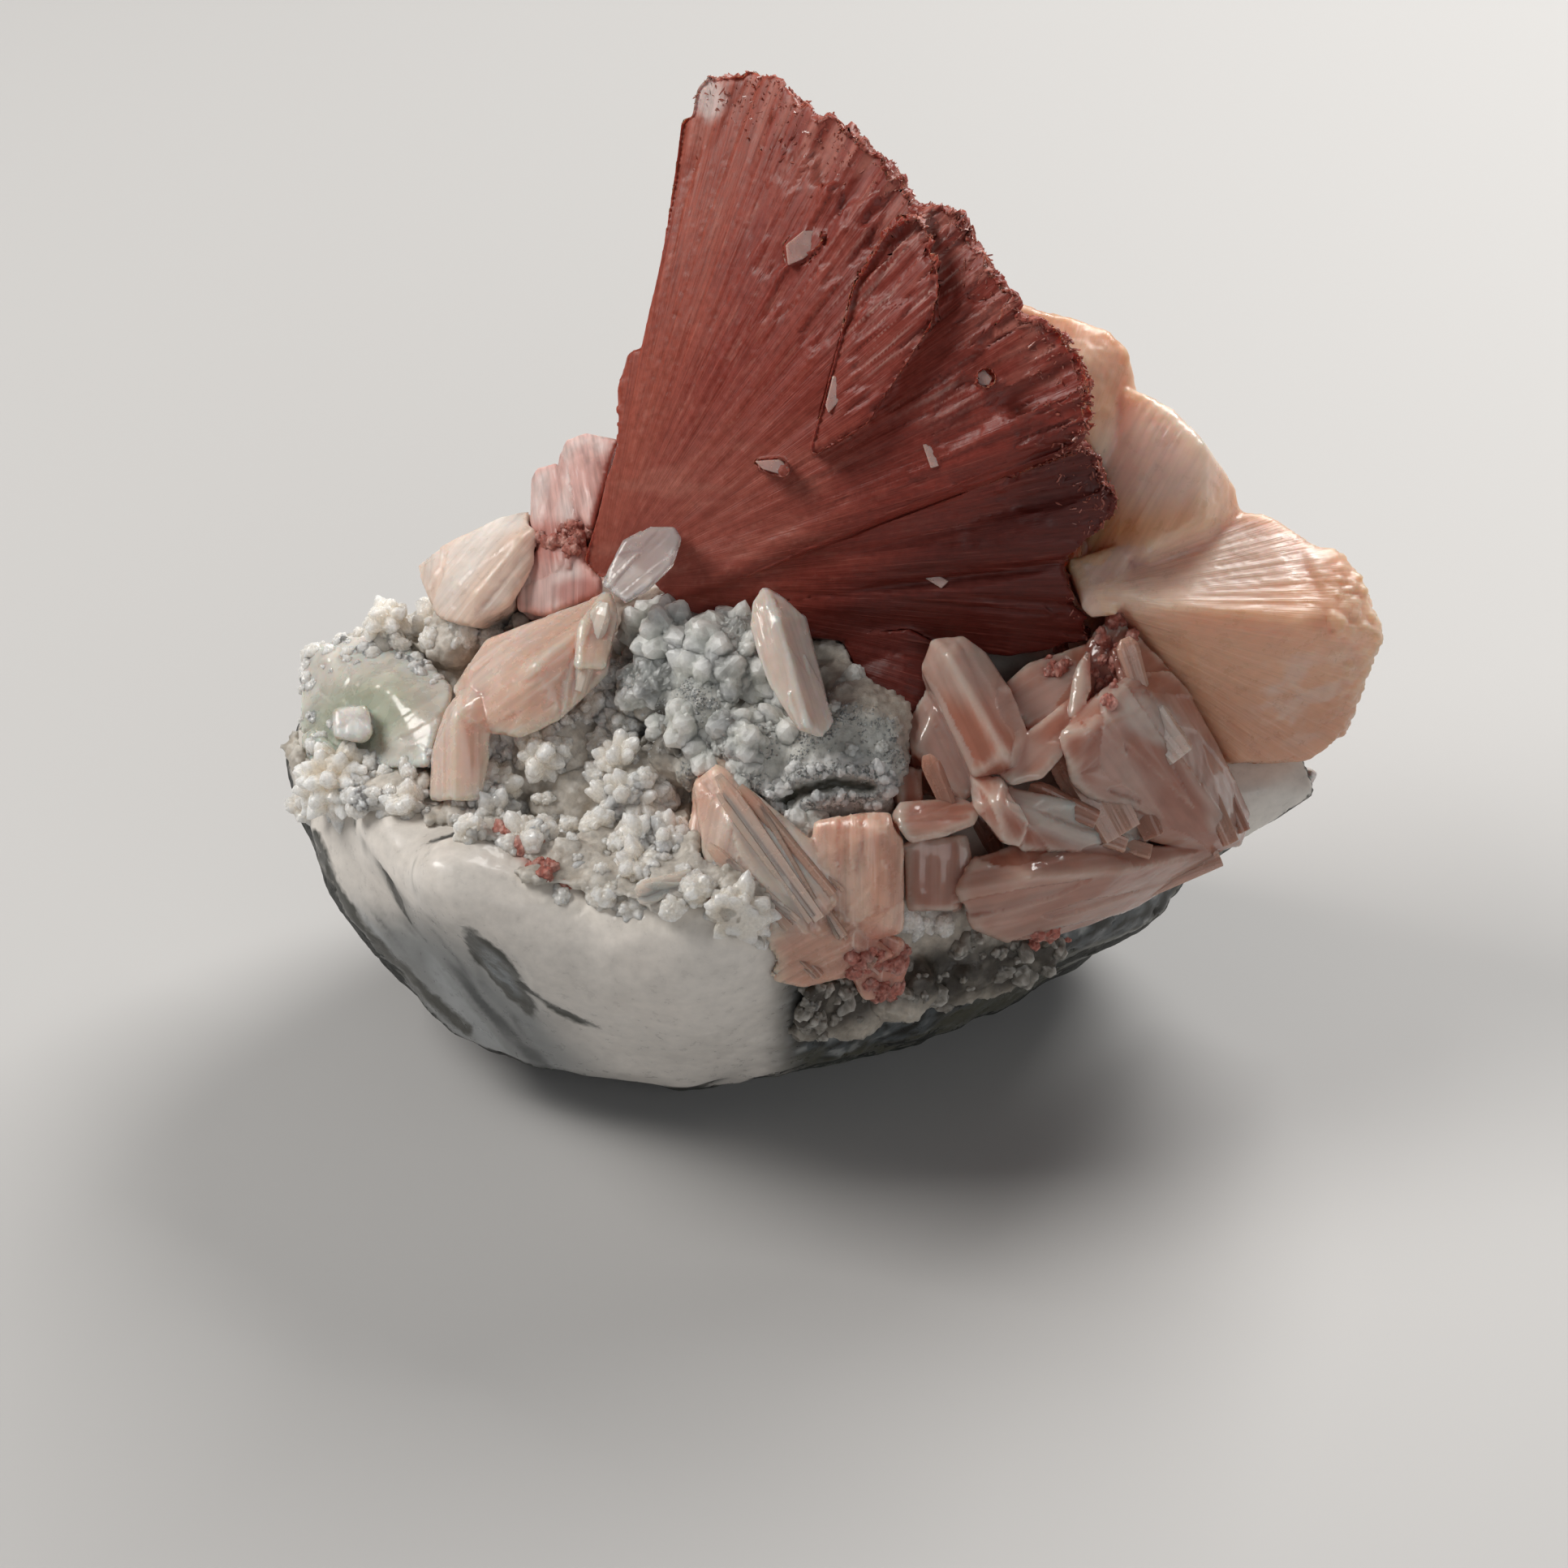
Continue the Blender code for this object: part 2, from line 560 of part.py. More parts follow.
def peach_sheaves():
    """The peach sheaves behind and to the right of the fan."""
    top = [(1245, 374, 20), (1300, 395, 21), (1332, 398, 21), (1366, 411, 21), (1386, 432, 20.6),
           (1395, 470, 20), (1398, 530, 20), (1340, 560, 23), (1290, 520, 23), (1330, 450, 23.4)]
    middle = [(1348, 562, 20), (1366, 532, 20.4), (1386, 480, 21), (1402, 485, 21.6),
              (1442, 504, 22), (1476, 540, 22.4), (1500, 576, 21), (1520, 600, 20),
              (1528, 640, 19), (1484, 640, 24.4), (1480, 548, 24), (1412, 678, 24),
              (1340, 682, 19)]
    front = [(1362, 725, 23), (1384, 684, 20.6), (1530, 632, 19.6), (1562, 636, 19.6),
             (1600, 671, 20), (1668, 706, 20), (1684, 742, 20.6), (1690, 815, 19), (1660, 890, 15),
             (1640, 918, 13), (1612, 936, 11.6), (1520, 936, 14), (1500, 892, 17),
             (1462, 802, 21.4), (1396, 756, 23.6), (1450, 748, 26), (1600, 768, 25.4)]
    ends = [(1600, 672, 20.4), (1650, 681, 20), (1670, 706, 20), (1684, 742, 20.8),
            (1705, 785, 20.8), (1690, 815, 19.4), (1640, 770, 24), (1620, 700, 22)]
    low_end = [(1690, 812, 18), (1664, 888, 14), (1655, 905, 13), (1600, 930, 13), (1560, 880, 18),
               (1640, 800, 20)]
    small = [(1312, 694, 22), (1372, 676, 22), (1390, 690, 22.4), (1376, 756, 24), (1346, 760, 23.4),
             (1322, 742, 22.6)]
    return [slab(top, SHEAF_THICKNESS, SHEAF_TAPER, [(24, 20, 30), (36, 18, 28)]),
            slab(middle, SHEAF_THICKNESS, SHEAF_TAPER, [(28, 18, 28), (42, 16, 26)]),
            slab(front, SHEAF_THICKNESS, SHEAF_TAPER, [(38, 12, 22), (44, 16, 24)]),
            slab(ends, SHEAF_THICKNESS, SHEAF_TAPER),
            slab(low_end, BLADE_THICKNESS),
            slab(small, BLADE_THICKNESS)]


def white_side_crystal():
    """The matt white crystal at the right, below the peach sheaf."""
    front = [(1538, 948, 9.6), (1606, 946, 8.4), (1620, 952, 6.6), (1604, 985, 5.6),
             (1562, 1002, 6.4), (1546, 1000, 7.4)]
    return [slab(front, BLADE_THICKNESS, CRYSTAL_TAPER, [(44, 12, 20)])]


def pink_blades():
    """The pink blades that cross each other at the lower right."""
    obelisk = [(1137, 823, 25), (1150, 790, 25), (1186, 787, 25), (1212, 806, 25.4),
               (1242, 850, 26), (1264, 905, 26.4), (1256, 946, 27), (1200, 955, 28),
               (1166, 882, 27), (1168, 806, 27.6), (1236, 930, 29.4)]
    lilac_prism = [(1116, 896, 23.4), (1140, 851, 23), (1168, 870, 24), (1208, 962, 26),
                   (1190, 984, 26), (1165, 974, 25), (1128, 926, 25.4), (1150, 880, 25)]
    stub = [(1196, 958, 27), (1232, 960, 27.6), (1264, 1018, 28.4), (1256, 1040, 28.6),
            (1236, 1036, 28.8), (1202, 992, 28.6), (1228, 990, 30)]
    cross_blade = [(1234, 952, 27.4), (1262, 908, 26.6), (1322, 862, 24.4), (1346, 868, 24),
                   (1312, 922, 26.4), (1282, 956, 27.6), (1246, 964, 28)]
    lilac_panel = [(1244, 842, 22), (1268, 820, 21.6), (1346, 795, 21), (1352, 832, 22),
                   (1332, 880, 24), (1272, 902, 25), (1254, 872, 24)]
    thin_blade = [(1319, 882, 26), (1328, 826, 25), (1341, 804, 24.4), (1340, 850, 25.4),
                  (1326, 886, 26)]
    red_pocket = [(1334, 852, 22), (1344, 786, 21), (1372, 764, 21.6), (1398, 776, 21.6),
                  (1404, 812, 22), (1376, 858, 22.6)]
    side_panel = [(1370, 802, 23), (1400, 780, 22), (1426, 790, 21), (1450, 826, 20),
                  (1420, 850, 22.6), (1382, 842, 24)]
    big_blade = [(1308, 905, 27), (1340, 900, 27.4), (1346, 862, 25), (1396, 832, 24.4),
                 (1440, 828, 22), (1462, 850, 20.4), (1522, 962, 14.4), (1540, 1004, 11.6),
                 (1526, 1040, 12.4), (1484, 1050, 15), (1400, 1030, 20), (1322, 962, 26),
                 (1412, 870, 25), (1512, 1020, 17.4)]
    lens = [(1180, 1096, 26), (1200, 1060, 26), (1262, 1041, 25), (1362, 1046, 22),
            (1500, 1046, 14.4), (1480, 1066, 13), (1400, 1112, 14), (1342, 1140, 15.6),
            (1292, 1156, 18), (1240, 1156, 21), (1200, 1140, 24), (1270, 1080, 27),
            (1380, 1072, 22)]
    bright_wedge = [(1236, 972, 26.4), (1290, 982, 26.4), (1382, 1000, 22), (1402, 1030, 20),
                    (1352, 1046, 22.4), (1260, 1046, 26.6), (1240, 1010, 27.4)]
    low_prism = [(1102, 1004, 29), (1110, 991, 29), (1182, 985, 27.4), (1205, 996, 27.4),
                 (1200, 1014, 28.6), (1170, 1026, 29.6), (1122, 1037, 30.6), (1110, 1022, 30.6)]
    strut = [(1110, 945, 25.4), (1134, 950, 25), (1136, 985, 26), (1112, 1000, 27),
             (1104, 960, 26)]
    shade_block = [(1116, 1040, 25), (1190, 1030, 25), (1196, 1070, 25), (1180, 1120, 24),
                   (1120, 1120, 24)]
    rows = [(obelisk, BLADE_THICKNESS, [(18, 2, 28)]), (stub, PRISM_THICKNESS, []),
            (lilac_prism, PRISM_THICKNESS, [(14, 0, 28)]), (cross_blade, PRISM_THICKNESS, []),
            (lilac_panel, BLADE_THICKNESS, [(24, 8, 26)]), (thin_blade, SLIVER_THICKNESS, []),
            (red_pocket, PRISM_THICKNESS, [(30, 8, 26)]),
            (side_panel, PRISM_THICKNESS, [(34, 8, 26)]),
            (big_blade, BLOCK_THICKNESS, [(32, 6, 20)]), (lens, BLOCK_THICKNESS, [(26, 2, 18)]),
            (bright_wedge, BLADE_THICKNESS, []), (low_prism, PRISM_THICKNESS, []),
            (strut, PRISM_THICKNESS, [(12, 0, 28)]), (shade_block, BLADE_THICKNESS, [])]
    return [slab(front, thickness, CRYSTAL_TAPER, roots) for front, thickness, roots in rows]


def standing_prism():
    """The slender pale prism that stands before the fan's foot."""
    front = [(926, 770, 29), (930, 742, 28.4), (942, 726, 28), (966, 740, 28), (990, 762, 28.2),
             (1006, 832, 29), (1023, 888, 30), (1012, 906, 31), (986, 900, 31.6), (952, 846, 31),
             (934, 800, 30), (958, 764, 30.4), (996, 894, 32.4)]
    return [slab(front, PRISM_THICKNESS)]


def centre_sheaf():
    """The peach block under the tube and the pink fibres beside it."""
    block = [(1004, 1014, 29.6), (1060, 1004, 30.4), (1108, 1004, 30), (1112, 1050, 30.6),
             (1110, 1146, 28), (1060, 1160, 28), (1002, 1120, 29), (1000, 1060, 30),
             (1090, 1020, 31.6), (1094, 1140, 29.4)]
    fibres = [(856, 966, 27), (884, 944, 27), (930, 1000, 30), (1002, 1040, 30), (1030, 1110, 30),
              (1000, 1150, 30), (940, 1120, 31), (872, 1070, 30), (900, 1010, 30.6)]
    low_fibres = [(905, 1090, 31), (960, 1110, 31), (1040, 1130, 29.4), (1100, 1176, 27),
                  (1060, 1196, 26), (990, 1214, 26.6), (938, 1204, 28), (920, 1160, 30.4),
                  (1000, 1150, 30.4)]
    red_lump = [(1048, 1168, 26), (1080, 1150, 27), (1112, 1160, 26.6), (1118, 1188, 25),
                (1104, 1222, 23.4), (1066, 1230, 23.4), (1050, 1200, 25)]
    back_blade = [(848, 1040, 27), (858, 965, 25.4), (884, 925, 25), (915, 925, 25.2),
                  (934, 965, 26), (920, 1060, 28)]
    return [slab(block, BLADE_THICKNESS), slab(fibres, BLADE_THICKNESS),
            slab(low_fibres, BLADE_THICKNESS), slab(red_lump, PRISM_THICKNESS),
            slab(back_blade, PRISM_THICKNESS)]


def left_sheaf():
    """The peach sheaf at the left, with one upright blade in front."""
    main = [(750, 733, 19), (757, 752, 19.4), (748, 828, 21), (690, 884, 22.4), (640, 905, 22),
            (600, 900, 21), (560, 850, 18), (600, 790, 16), (690, 756, 17), (735, 760, 21),
            (660, 820, 23)]
    upright = [(532, 984, 20), (535, 930, 20), (552, 876, 19.6), (572, 850, 19.4), (592, 858, 20),
               (602, 905, 21.4), (592, 984, 22), (562, 880, 22.4), (560, 984, 22.4)]
    tip = [(745, 731, 19.8), (753, 733, 20), (758, 760, 21), (745, 824, 23.4), (710, 822, 23.6),
           (716, 768, 22.4)]
    return [slab(main, BLOCK_THICKNESS), slab(upright, BLADE_THICKNESS), slab(tip, PRISM_THICKNESS)]


def white_sheaf():
    """The white sheaf at the upper left."""
    main = [(516, 698, 9), (560, 668, 9), (620, 640, 9.4), (656, 630, 10), (672, 648, 11.4),
            (656, 692, 13.6), (626, 742, 15), (580, 768, 14.6), (542, 760, 12.6), (530, 730, 11),
            (640, 664, 13.6), (590, 730, 15)]
    lobe = [(490, 722, 6), (505, 705, 6.4), (522, 706, 7), (532, 740, 10), (520, 772, 10),
            (492, 770, 8), (484, 745, 6.4)]
    return [slab(main, BLOCK_THICKNESS, CRYSTAL_TAPER, [(-18, 20, 30)]),
            slab(lobe, BLADE_THICKNESS, CRYSTAL_TAPER, [(-26, 18, 28)])]


def back_left_cluster():
    """The pink and white cluster behind the fan's left edge."""
    tower = [(694, 560, 10), (700, 545, 10), (720, 536, 10), (744, 542, 11), (768, 545, 12),
             (768, 640, 16), (740, 650, 16.4), (728, 650, 16), (690, 590, 12), (720, 580, 13.6)]
    side = [(658, 592, 9), (664, 580, 9), (684, 575, 10), (700, 600, 12.4), (716, 660, 15),
            (700, 700, 15), (668, 690, 13), (656, 640, 11)]
    foot = [(640, 700, 12), (700, 650, 14), (735, 690, 15.6), (742, 740, 16), (700, 760, 15),
            (640, 750, 13)]
    return [slab(tower, BLADE_THICKNESS, CRYSTAL_TAPER, [(-12, 22, 32)]),
            slab(side, BLADE_THICKNESS, CRYSTAL_TAPER, [(-16, 22, 30)]),
            slab(foot, BLADE_THICKNESS, CRYSTAL_TAPER, [(-14, 18, 30)])]


def left_block():
    """The greenish white block at the far left, with a small cube on it."""
    main = [(372, 900, 8), (374, 850, 6), (381, 798, 4), (404, 797, 4), (430, 790, 4.4),
            (485, 786, 6), (520, 812, 9), (556, 850, 13), (544, 905, 17), (530, 942, 18),
            (450, 946, 14), (400, 925, 10), (480, 850, 13), (420, 840, 9)]
    cube = [(413, 876, 15), (450, 872, 15), (457, 904, 16), (448, 912, 16), (414, 908, 16)]
    foot = [(374, 908, 9), (384, 902, 10), (405, 940, 12), (460, 950, 15), (440, 990, 14),
            (382, 982, 11)]
    return [slab(main, BLOCK_THICKNESS, CRYSTAL_TAPER, [(-28, 15, 26)]),
            slab(cube, BLADE_THICKNESS, STRAIGHT_TAPER), slab(foot, BLADE_THICKNESS)]


def build_crystals(name, crystals, rock, neighbours, paint):
    """One group of crystals, standing on the rock and clear of others."""
    first = new_object(name, fan_body()) if name == "red_fan" else None
    group = crystal_group(name, crystals, first)
    combine(group, [new_object("rock_cutter", grown_rock(rock, TOUCH_GAP * 2))], "DIFFERENCE")
    cut_clear(group, neighbours)
    largest_body(group)
    group.data.materials.append(paint)
    return group


def build_crust(rock, neighbours, paint):
    """The quartz and chalcedony crust of the bowl, as one body."""
    crust = new_object("quartz_crust", crust_sheet(rock))
    lumps = [new_object("lump", lump(*place)) for place in QUARTZ_LUMPS + CHALCEDONY_LUMPS]
    combine(crust, lumps, "UNION")
    thin_out(crust, CRUST_FACE_SHARE)
    mouth = [(right, down, TUBE_MOUTH_NEAR) for right, down in TUBE_MOUTH]
    mouth_points = slab(mouth, TUBE_MOUTH_DEPTH, MOUTH_TAPER)
    combine(crust, [new_object("mouth", convex_mesh(mouth_points))], "DIFFERENCE")
    combine(crust, [new_object("rock_cutter", grown_rock(rock, CUT_GAP))], "DIFFERENCE")
    cut_clear(crust, neighbours)
    largest_body(crust)
    crust.data.materials.append(paint)
    return crust


def move_to_rest_middle():
    """Shift every piece so that the middle of the rest face is the origin."""
    for piece in bpy.data.objects:
        piece.data.transform(Matrix.Translation(-REST_MIDDLE * MM))
        piece.data.update()


def clear_scene():
    """Remove whatever the scene starts with."""
    for item in list(bpy.data.objects):
        bpy.data.objects.remove(item)


def main():
    """Build every piece of the specimen."""
    clear_scene()
    rock = largest_body(rock_mesh(rock_radius_weights()))
    rock.data.materials.append(material("pale rock", (0.62, 0.6, 0.58), 0.55))
    fan_extras = fan_additions()
    fan = fan_extras + fan_sectors()
    plate = heulandite_plate()
    prism = standing_prism()
    peach = peach_sheaves()
    blades = pink_blades()
    centre = centre_sheaf()
    side = white_side_crystal()
    left = left_sheaf()
    block = left_block()
    white = white_sheaf()
    cluster = back_left_cluster()
    rows = [
        ("red_fan", fan_extras, [], (0.45, 0.13, 0.1), 0.45, 0.0),
        ("heulandite_plate", plate, [fan], (0.75, 0.62, 0.58), 0.15, 0.6),
        ("standing_prism", prism, [fan], (0.85, 0.68, 0.62), 0.3, 0.1),
        ("peach_sheaves", peach, [fan], (0.86, 0.62, 0.5), 0.35, 0.1),
        ("pink_blades", blades, [fan, peach], (0.78, 0.52, 0.46), 0.3, 0.1),
        ("centre_sheaf", centre, [fan, prism, blades], (0.76, 0.52, 0.42), 0.35, 0.1),
        ("white_side_crystal", side, [peach, blades], (0.85, 0.82, 0.82), 0.6, 0.0),
        ("left_sheaf", left, [fan, plate], (0.82, 0.64, 0.54), 0.3, 0.2),
        ("left_block", block, [left], (0.7, 0.7, 0.62), 0.3, 0.2),
        ("back_left_cluster", cluster, [fan, left, plate], (0.85, 0.7, 0.68), 0.4, 0.0),
        ("white_sheaf", white, [cluster, left], (0.88, 0.84, 0.8), 0.35, 0.1),
    ]
    for name, crystals, neighbours, colour, roughness, clear in rows:
        build_crystals(name, crystals, rock, neighbours,
                       material(name.replace("_", " "), colour, roughness, clear))
    crystals = [row[1] for row in rows]
    quartz = material("quartz crust", (0.75, 0.76, 0.74), 0.4, 0.1)
    build_crust(rock, crystals + [fan_sectors()], quartz)
    move_to_rest_middle()


main()
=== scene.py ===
"""The looks of a stilbite and heulandite specimen on its piece of rock.

Each crystal group starts from its solid in the frame. The solid is copied,
remeshed finely and shaped point by point: silky grooves, steps, knobs and
broken edges. Grains and small crystals are joined meshes that stand on it.

Lengths are millimetres until a piece is finished. Places on the front are
given as points of the same drawing that the solids were made from.
"""

import math

import bmesh
import bpy
import numpy as np
from mathutils import Matrix, Vector
from mathutils.bvhtree import BVHTree


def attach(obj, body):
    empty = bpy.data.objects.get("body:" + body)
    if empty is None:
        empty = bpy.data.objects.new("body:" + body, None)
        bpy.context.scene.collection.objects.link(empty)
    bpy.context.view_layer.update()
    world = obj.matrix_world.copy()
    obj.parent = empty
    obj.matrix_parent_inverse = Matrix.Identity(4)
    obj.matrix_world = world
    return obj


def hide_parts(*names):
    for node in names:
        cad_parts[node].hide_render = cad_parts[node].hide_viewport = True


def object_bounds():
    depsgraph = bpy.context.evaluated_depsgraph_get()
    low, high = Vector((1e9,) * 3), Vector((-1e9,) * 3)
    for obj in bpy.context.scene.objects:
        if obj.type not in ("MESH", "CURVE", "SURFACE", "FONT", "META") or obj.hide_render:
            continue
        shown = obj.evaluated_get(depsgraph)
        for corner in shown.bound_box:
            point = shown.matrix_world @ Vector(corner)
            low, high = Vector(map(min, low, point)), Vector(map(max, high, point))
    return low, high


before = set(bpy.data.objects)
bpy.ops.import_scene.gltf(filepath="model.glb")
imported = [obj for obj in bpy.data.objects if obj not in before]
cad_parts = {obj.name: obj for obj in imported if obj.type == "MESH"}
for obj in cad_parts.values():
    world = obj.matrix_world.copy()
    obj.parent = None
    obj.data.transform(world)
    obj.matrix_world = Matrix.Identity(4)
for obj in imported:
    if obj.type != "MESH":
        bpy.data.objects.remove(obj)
cad_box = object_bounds()

MM = 0.001
COARSER = 1.0

# The drawing: seen from 35 degrees above the floor and 301 mm away
ELEVATION = math.radians(35.0)
DISTANCE = 301.4
DRAWING_STEP = 0.07
DRAWING_MIDDLE = 966
DRAWING_SIDE = 1932
SENSOR_WIDTH = 36.0
FLOOR_POINT = (900, 1300)
REST_MIDDLE = np.array([4.0, 9.0, 0.0])
ALONG = np.array([0, math.cos(ELEVATION), -math.sin(ELEVATION)])
UP = np.array([0, math.sin(ELEVATION), math.cos(ELEVATION)])
RIGHT = np.array([1.0, 0, 0])


def drawing_offset(right, down, distance):
    """The place of a drawing point from the eye, at a distance in mm."""
    scale = DRAWING_STEP * distance / DISTANCE
    return (ALONG * distance + RIGHT * (right - DRAWING_MIDDLE) * scale
            + UP * (DRAWING_MIDDLE - down) * scale)


EYE = -drawing_offset(*FLOOR_POINT, DISTANCE) - REST_MIDDLE


def seen(right, down, near):
    """World place in mm of a drawing point that stands `near` mm forward."""
    return EYE + drawing_offset(right, down, DISTANCE - near)


def on_drawing(points):
    """Where points in mm fall on the drawing, and how far forward they are."""
    arms = points - EYE
    distance = arms @ ALONG
    scale = DISTANCE / distance / DRAWING_STEP
    right = DRAWING_MIDDLE + (arms @ RIGHT) * scale
    down = DRAWING_MIDDLE - (arms @ UP) * scale
    return right, down, DISTANCE - distance


# Repeatable noise over points, as arrays
HASH_STEPS = (374761393, 668265263, 1442695041)
SEED_STEP = 974634777
HASH_FACTOR = 1274126177
LOW_32_BITS = 0xffffffff
LOW_24_BITS = 0xffffff
FAR = 1e9


def lattice(cells, seed):
    """Repeatable values from 0 to 1 for whole-number cells."""
    x, y, z = (cells[:, k] * HASH_STEPS[k] for k in range(3))
    mixed = (x + y + z + seed * SEED_STEP) & LOW_32_BITS
    mixed = ((mixed ^ (mixed >> 13)) * HASH_FACTOR) & LOW_32_BITS
    return ((mixed ^ (mixed >> 16)) & LOW_24_BITS) / LOW_24_BITS


def smooth_noise(points, seed=0):
    """Smooth noise from -1 to 1."""
    base = np.floor(points).astype(np.int64)
    part = points - base
    ease = part * part * (3 - 2 * part)
    total = np.zeros(len(points))
    for x in (0, 1):
        for y in (0, 1):
            for z in (0, 1):
                weight = ((ease[:, 0] if x else 1 - ease[:, 0])
                          * (ease[:, 1] if y else 1 - ease[:, 1])
                          * (ease[:, 2] if z else 1 - ease[:, 2]))
                total += weight * lattice(base + (x, y, z), seed)
    return total * 2 - 1


def layered_noise(points, octaves=4, seed=0, gain=0.5):
    """Noise with finer and weaker layers on top of each other."""
    total = np.zeros(len(points))
    strength, reach = 1.0, 0.0
    for octave in range(octaves):
        total += strength * smooth_noise(points * 2 ** octave, seed + octave * 17)
        reach += strength
        strength *= gain
    return total / reach


def cell_noise(points, seed=0):
    """Distances to the nearest two scattered spots, and the nearest's own value."""
    base = np.floor(points).astype(np.int64)
    first = np.full(len(points), FAR)
    second = np.full(len(points), FAR)
    own = np.zeros(len(points))
    for x in (-1, 0, 1):
        for y in (-1, 0, 1):
            for z in (-1, 0, 1):
                cell = base + (x, y, z)
                spot = cell + np.stack([lattice(cell, seed + k) for k in range(3)], axis=1)
                gap = np.linalg.norm(spot - points, axis=1)
                nearer = gap < first
                second = np.where(nearer, first, np.minimum(second, gap))
                own = np.where(nearer, lattice(cell, seed + 5), own)
                first = np.where(nearer, gap, first)
    return first, second, own


def fade(value, low, high):
    """0 below low, 1 above high, smooth between; low may be above high."""
    share = np.clip((value - low) / (high - low), 0, 1)
    return share * share * (3 - 2 * share)


def spot(right, down, place, size, turn=0.0, soft=0.5, ragged=None):
    """A mask of 1 inside a drawn ellipse that fades out at its border."""
    x, y = right - place[0], down - place[1]
    turned = math.radians(turn)
    across = (x * math.cos(turned) + y * math.sin(turned)) / size[0]
    upward = (y * math.cos(turned) - x * math.sin(turned)) / size[1]
    reach = np.hypot(across, upward)
    if ragged is not None:
        reach = reach + ragged
    return fade(reach, 1 + soft / 2, 1 - soft / 2)


def from_line(right, down, line):
    """Distance in drawing steps from a drawn line, and the side it lies on."""
    nearest = np.full(len(right), FAR)
    side = np.zeros(len(right))
    for (x0, y0), (x1, y1) in zip(line, line[1:]):
        length = math.hypot(x1 - x0, y1 - y0)
        way_x, way_y = (x1 - x0) / length, (y1 - y0) / length
        run = np.clip((right - x0) * way_x + (down - y0) * way_y, 0, length)
        gap = np.hypot(right - x0 - run * way_x, down - y0 - run * way_y)
        nearer = gap < nearest
        nearest = np.where(nearer, gap, nearest)
        side = np.where(nearer, np.sign((right - x0) * way_y - (down - y0) * way_x), side)
    return nearest, side


def inside_box(points):
    """Hold points in mm inside the box of the whole specimen."""
    return np.clip(points, np.array(cad_box[0]) / MM, np.array(cad_box[1]) / MM)


MERGE_GAP = 0.0005


class Form:
    """A fine mesh in mm, shaped point by point."""

    def __init__(self, name, node, voxel, rounds=1, grow=0.2):
        self.name = name
        self.node = node
        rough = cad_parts[node].data.copy()
        rough.transform(Matrix.Scale(1 / MM, 4))
        bm = bmesh.new()
        bm.from_mesh(rough)
        bmesh.ops.remove_doubles(bm, verts=bm.verts, dist=MERGE_GAP)
        bm.to_mesh(rough)
        bm.free()
        holder = bpy.data.objects.new(name + "_rough", rough)
        bpy.context.scene.collection.objects.link(holder)
        remesh = holder.modifiers.new("finer", "REMESH")
        remesh.mode = "VOXEL"
        remesh.voxel_size = voxel * COARSER
        graph = bpy.context.evaluated_depsgraph_get()
        self.mesh = bpy.data.meshes.new_from_object(holder.evaluated_get(graph))
        bpy.data.objects.remove(holder)
        self.mesh.name = name
        count = len(self.mesh.vertices)
        self.points = np.empty(count * 3)
        self.mesh.vertices.foreach_get("co", self.points)
        self.points = self.points.reshape(-1, 3)
        self.edges = np.empty(len(self.mesh.edges) * 2, dtype=np.int64)
        self.mesh.edges.foreach_get("vertices", self.edges)
        self.edges = self.edges.reshape(-1, 2)
        self.facing = None
        self.smooth(rounds)
        self.push(np.full(count, grow))
        self.rest = self.points.copy()

    def neighbours(self, values):
        """The mean of each point's neighbours."""
        count = len(self.points)
        near, far = self.edges[:, 0], self.edges[:, 1]
        number = np.bincount(self.edges.ravel(), minlength=count)
        flat = values if values.ndim > 1 else values[:, None]
        total = np.stack([np.bincount(near, weights=flat[far, k], minlength=count)
                          + np.bincount(far, weights=flat[near, k], minlength=count)
                          for k in range(flat.shape[1])], axis=1)
        mean = total / np.maximum(number, 1)[:, None]
        return mean if values.ndim > 1 else mean[:, 0]

    def smooth(self, rounds, share=0.5):
        for _ in range(rounds):
            self.points = self.points * (1 - share) + self.neighbours(self.points) * share

    def normals(self):
        """The direction in which the surface faces at each point."""
        if self.facing is not None:
            return self.facing
        self.mesh.vertices.foreach_set("co", self.points.ravel())
        self.mesh.update()
        facing = np.empty(len(self.points) * 3)
        self.mesh.vertex_normals.foreach_get("vector", facing)
        return facing.reshape(-1, 3)

    def push(self, amount):
        """Move the surface along its normals by an amount in mm."""
        self.points = self.points + self.normals() * np.asarray(amount)[:, None]

    def hollowness(self, rounds=12):
        """How far each point lies below its wider surroundings, in mm."""
        wide = self.points
        for _ in range(rounds):
            wide = self.neighbours(wide)
        return ((wide - self.points) * self.normals()).sum(axis=1)

    def edge_share(self, rounds=20, soft=0.3):
        """How much each point lies on an outward edge, from 0 to 1."""
        return fade(self.hollowness(rounds), -0.03, -soft)

    def triangles(self):
        self.mesh.calc_loop_triangles()
        corners = np.empty(len(self.mesh.loop_triangles) * 3, dtype=np.int64)
        self.mesh.loop_triangles.foreach_get("vertices", corners)
        return corners.reshape(-1, 3)

    def finish(self, tint, flow, paint):
        """Make the scene's object, with its colours and grain directions."""
        self.points = inside_box(self.points)
        self.facing = self.normals()
        self.mesh.vertices.foreach_set("co", (self.points * MM).ravel())
        self.mesh.polygons.foreach_set("use_smooth", [True] * len(self.mesh.polygons))
        give_colours(self.mesh, tint, flow)
        self.mesh.materials.clear()
        self.mesh.materials.append(paint.material)
        self.mesh.update()
        piece = bpy.data.objects.new(self.name, self.mesh)
        bpy.context.scene.collection.objects.link(piece)
        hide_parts(self.node)
        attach(piece, "root")


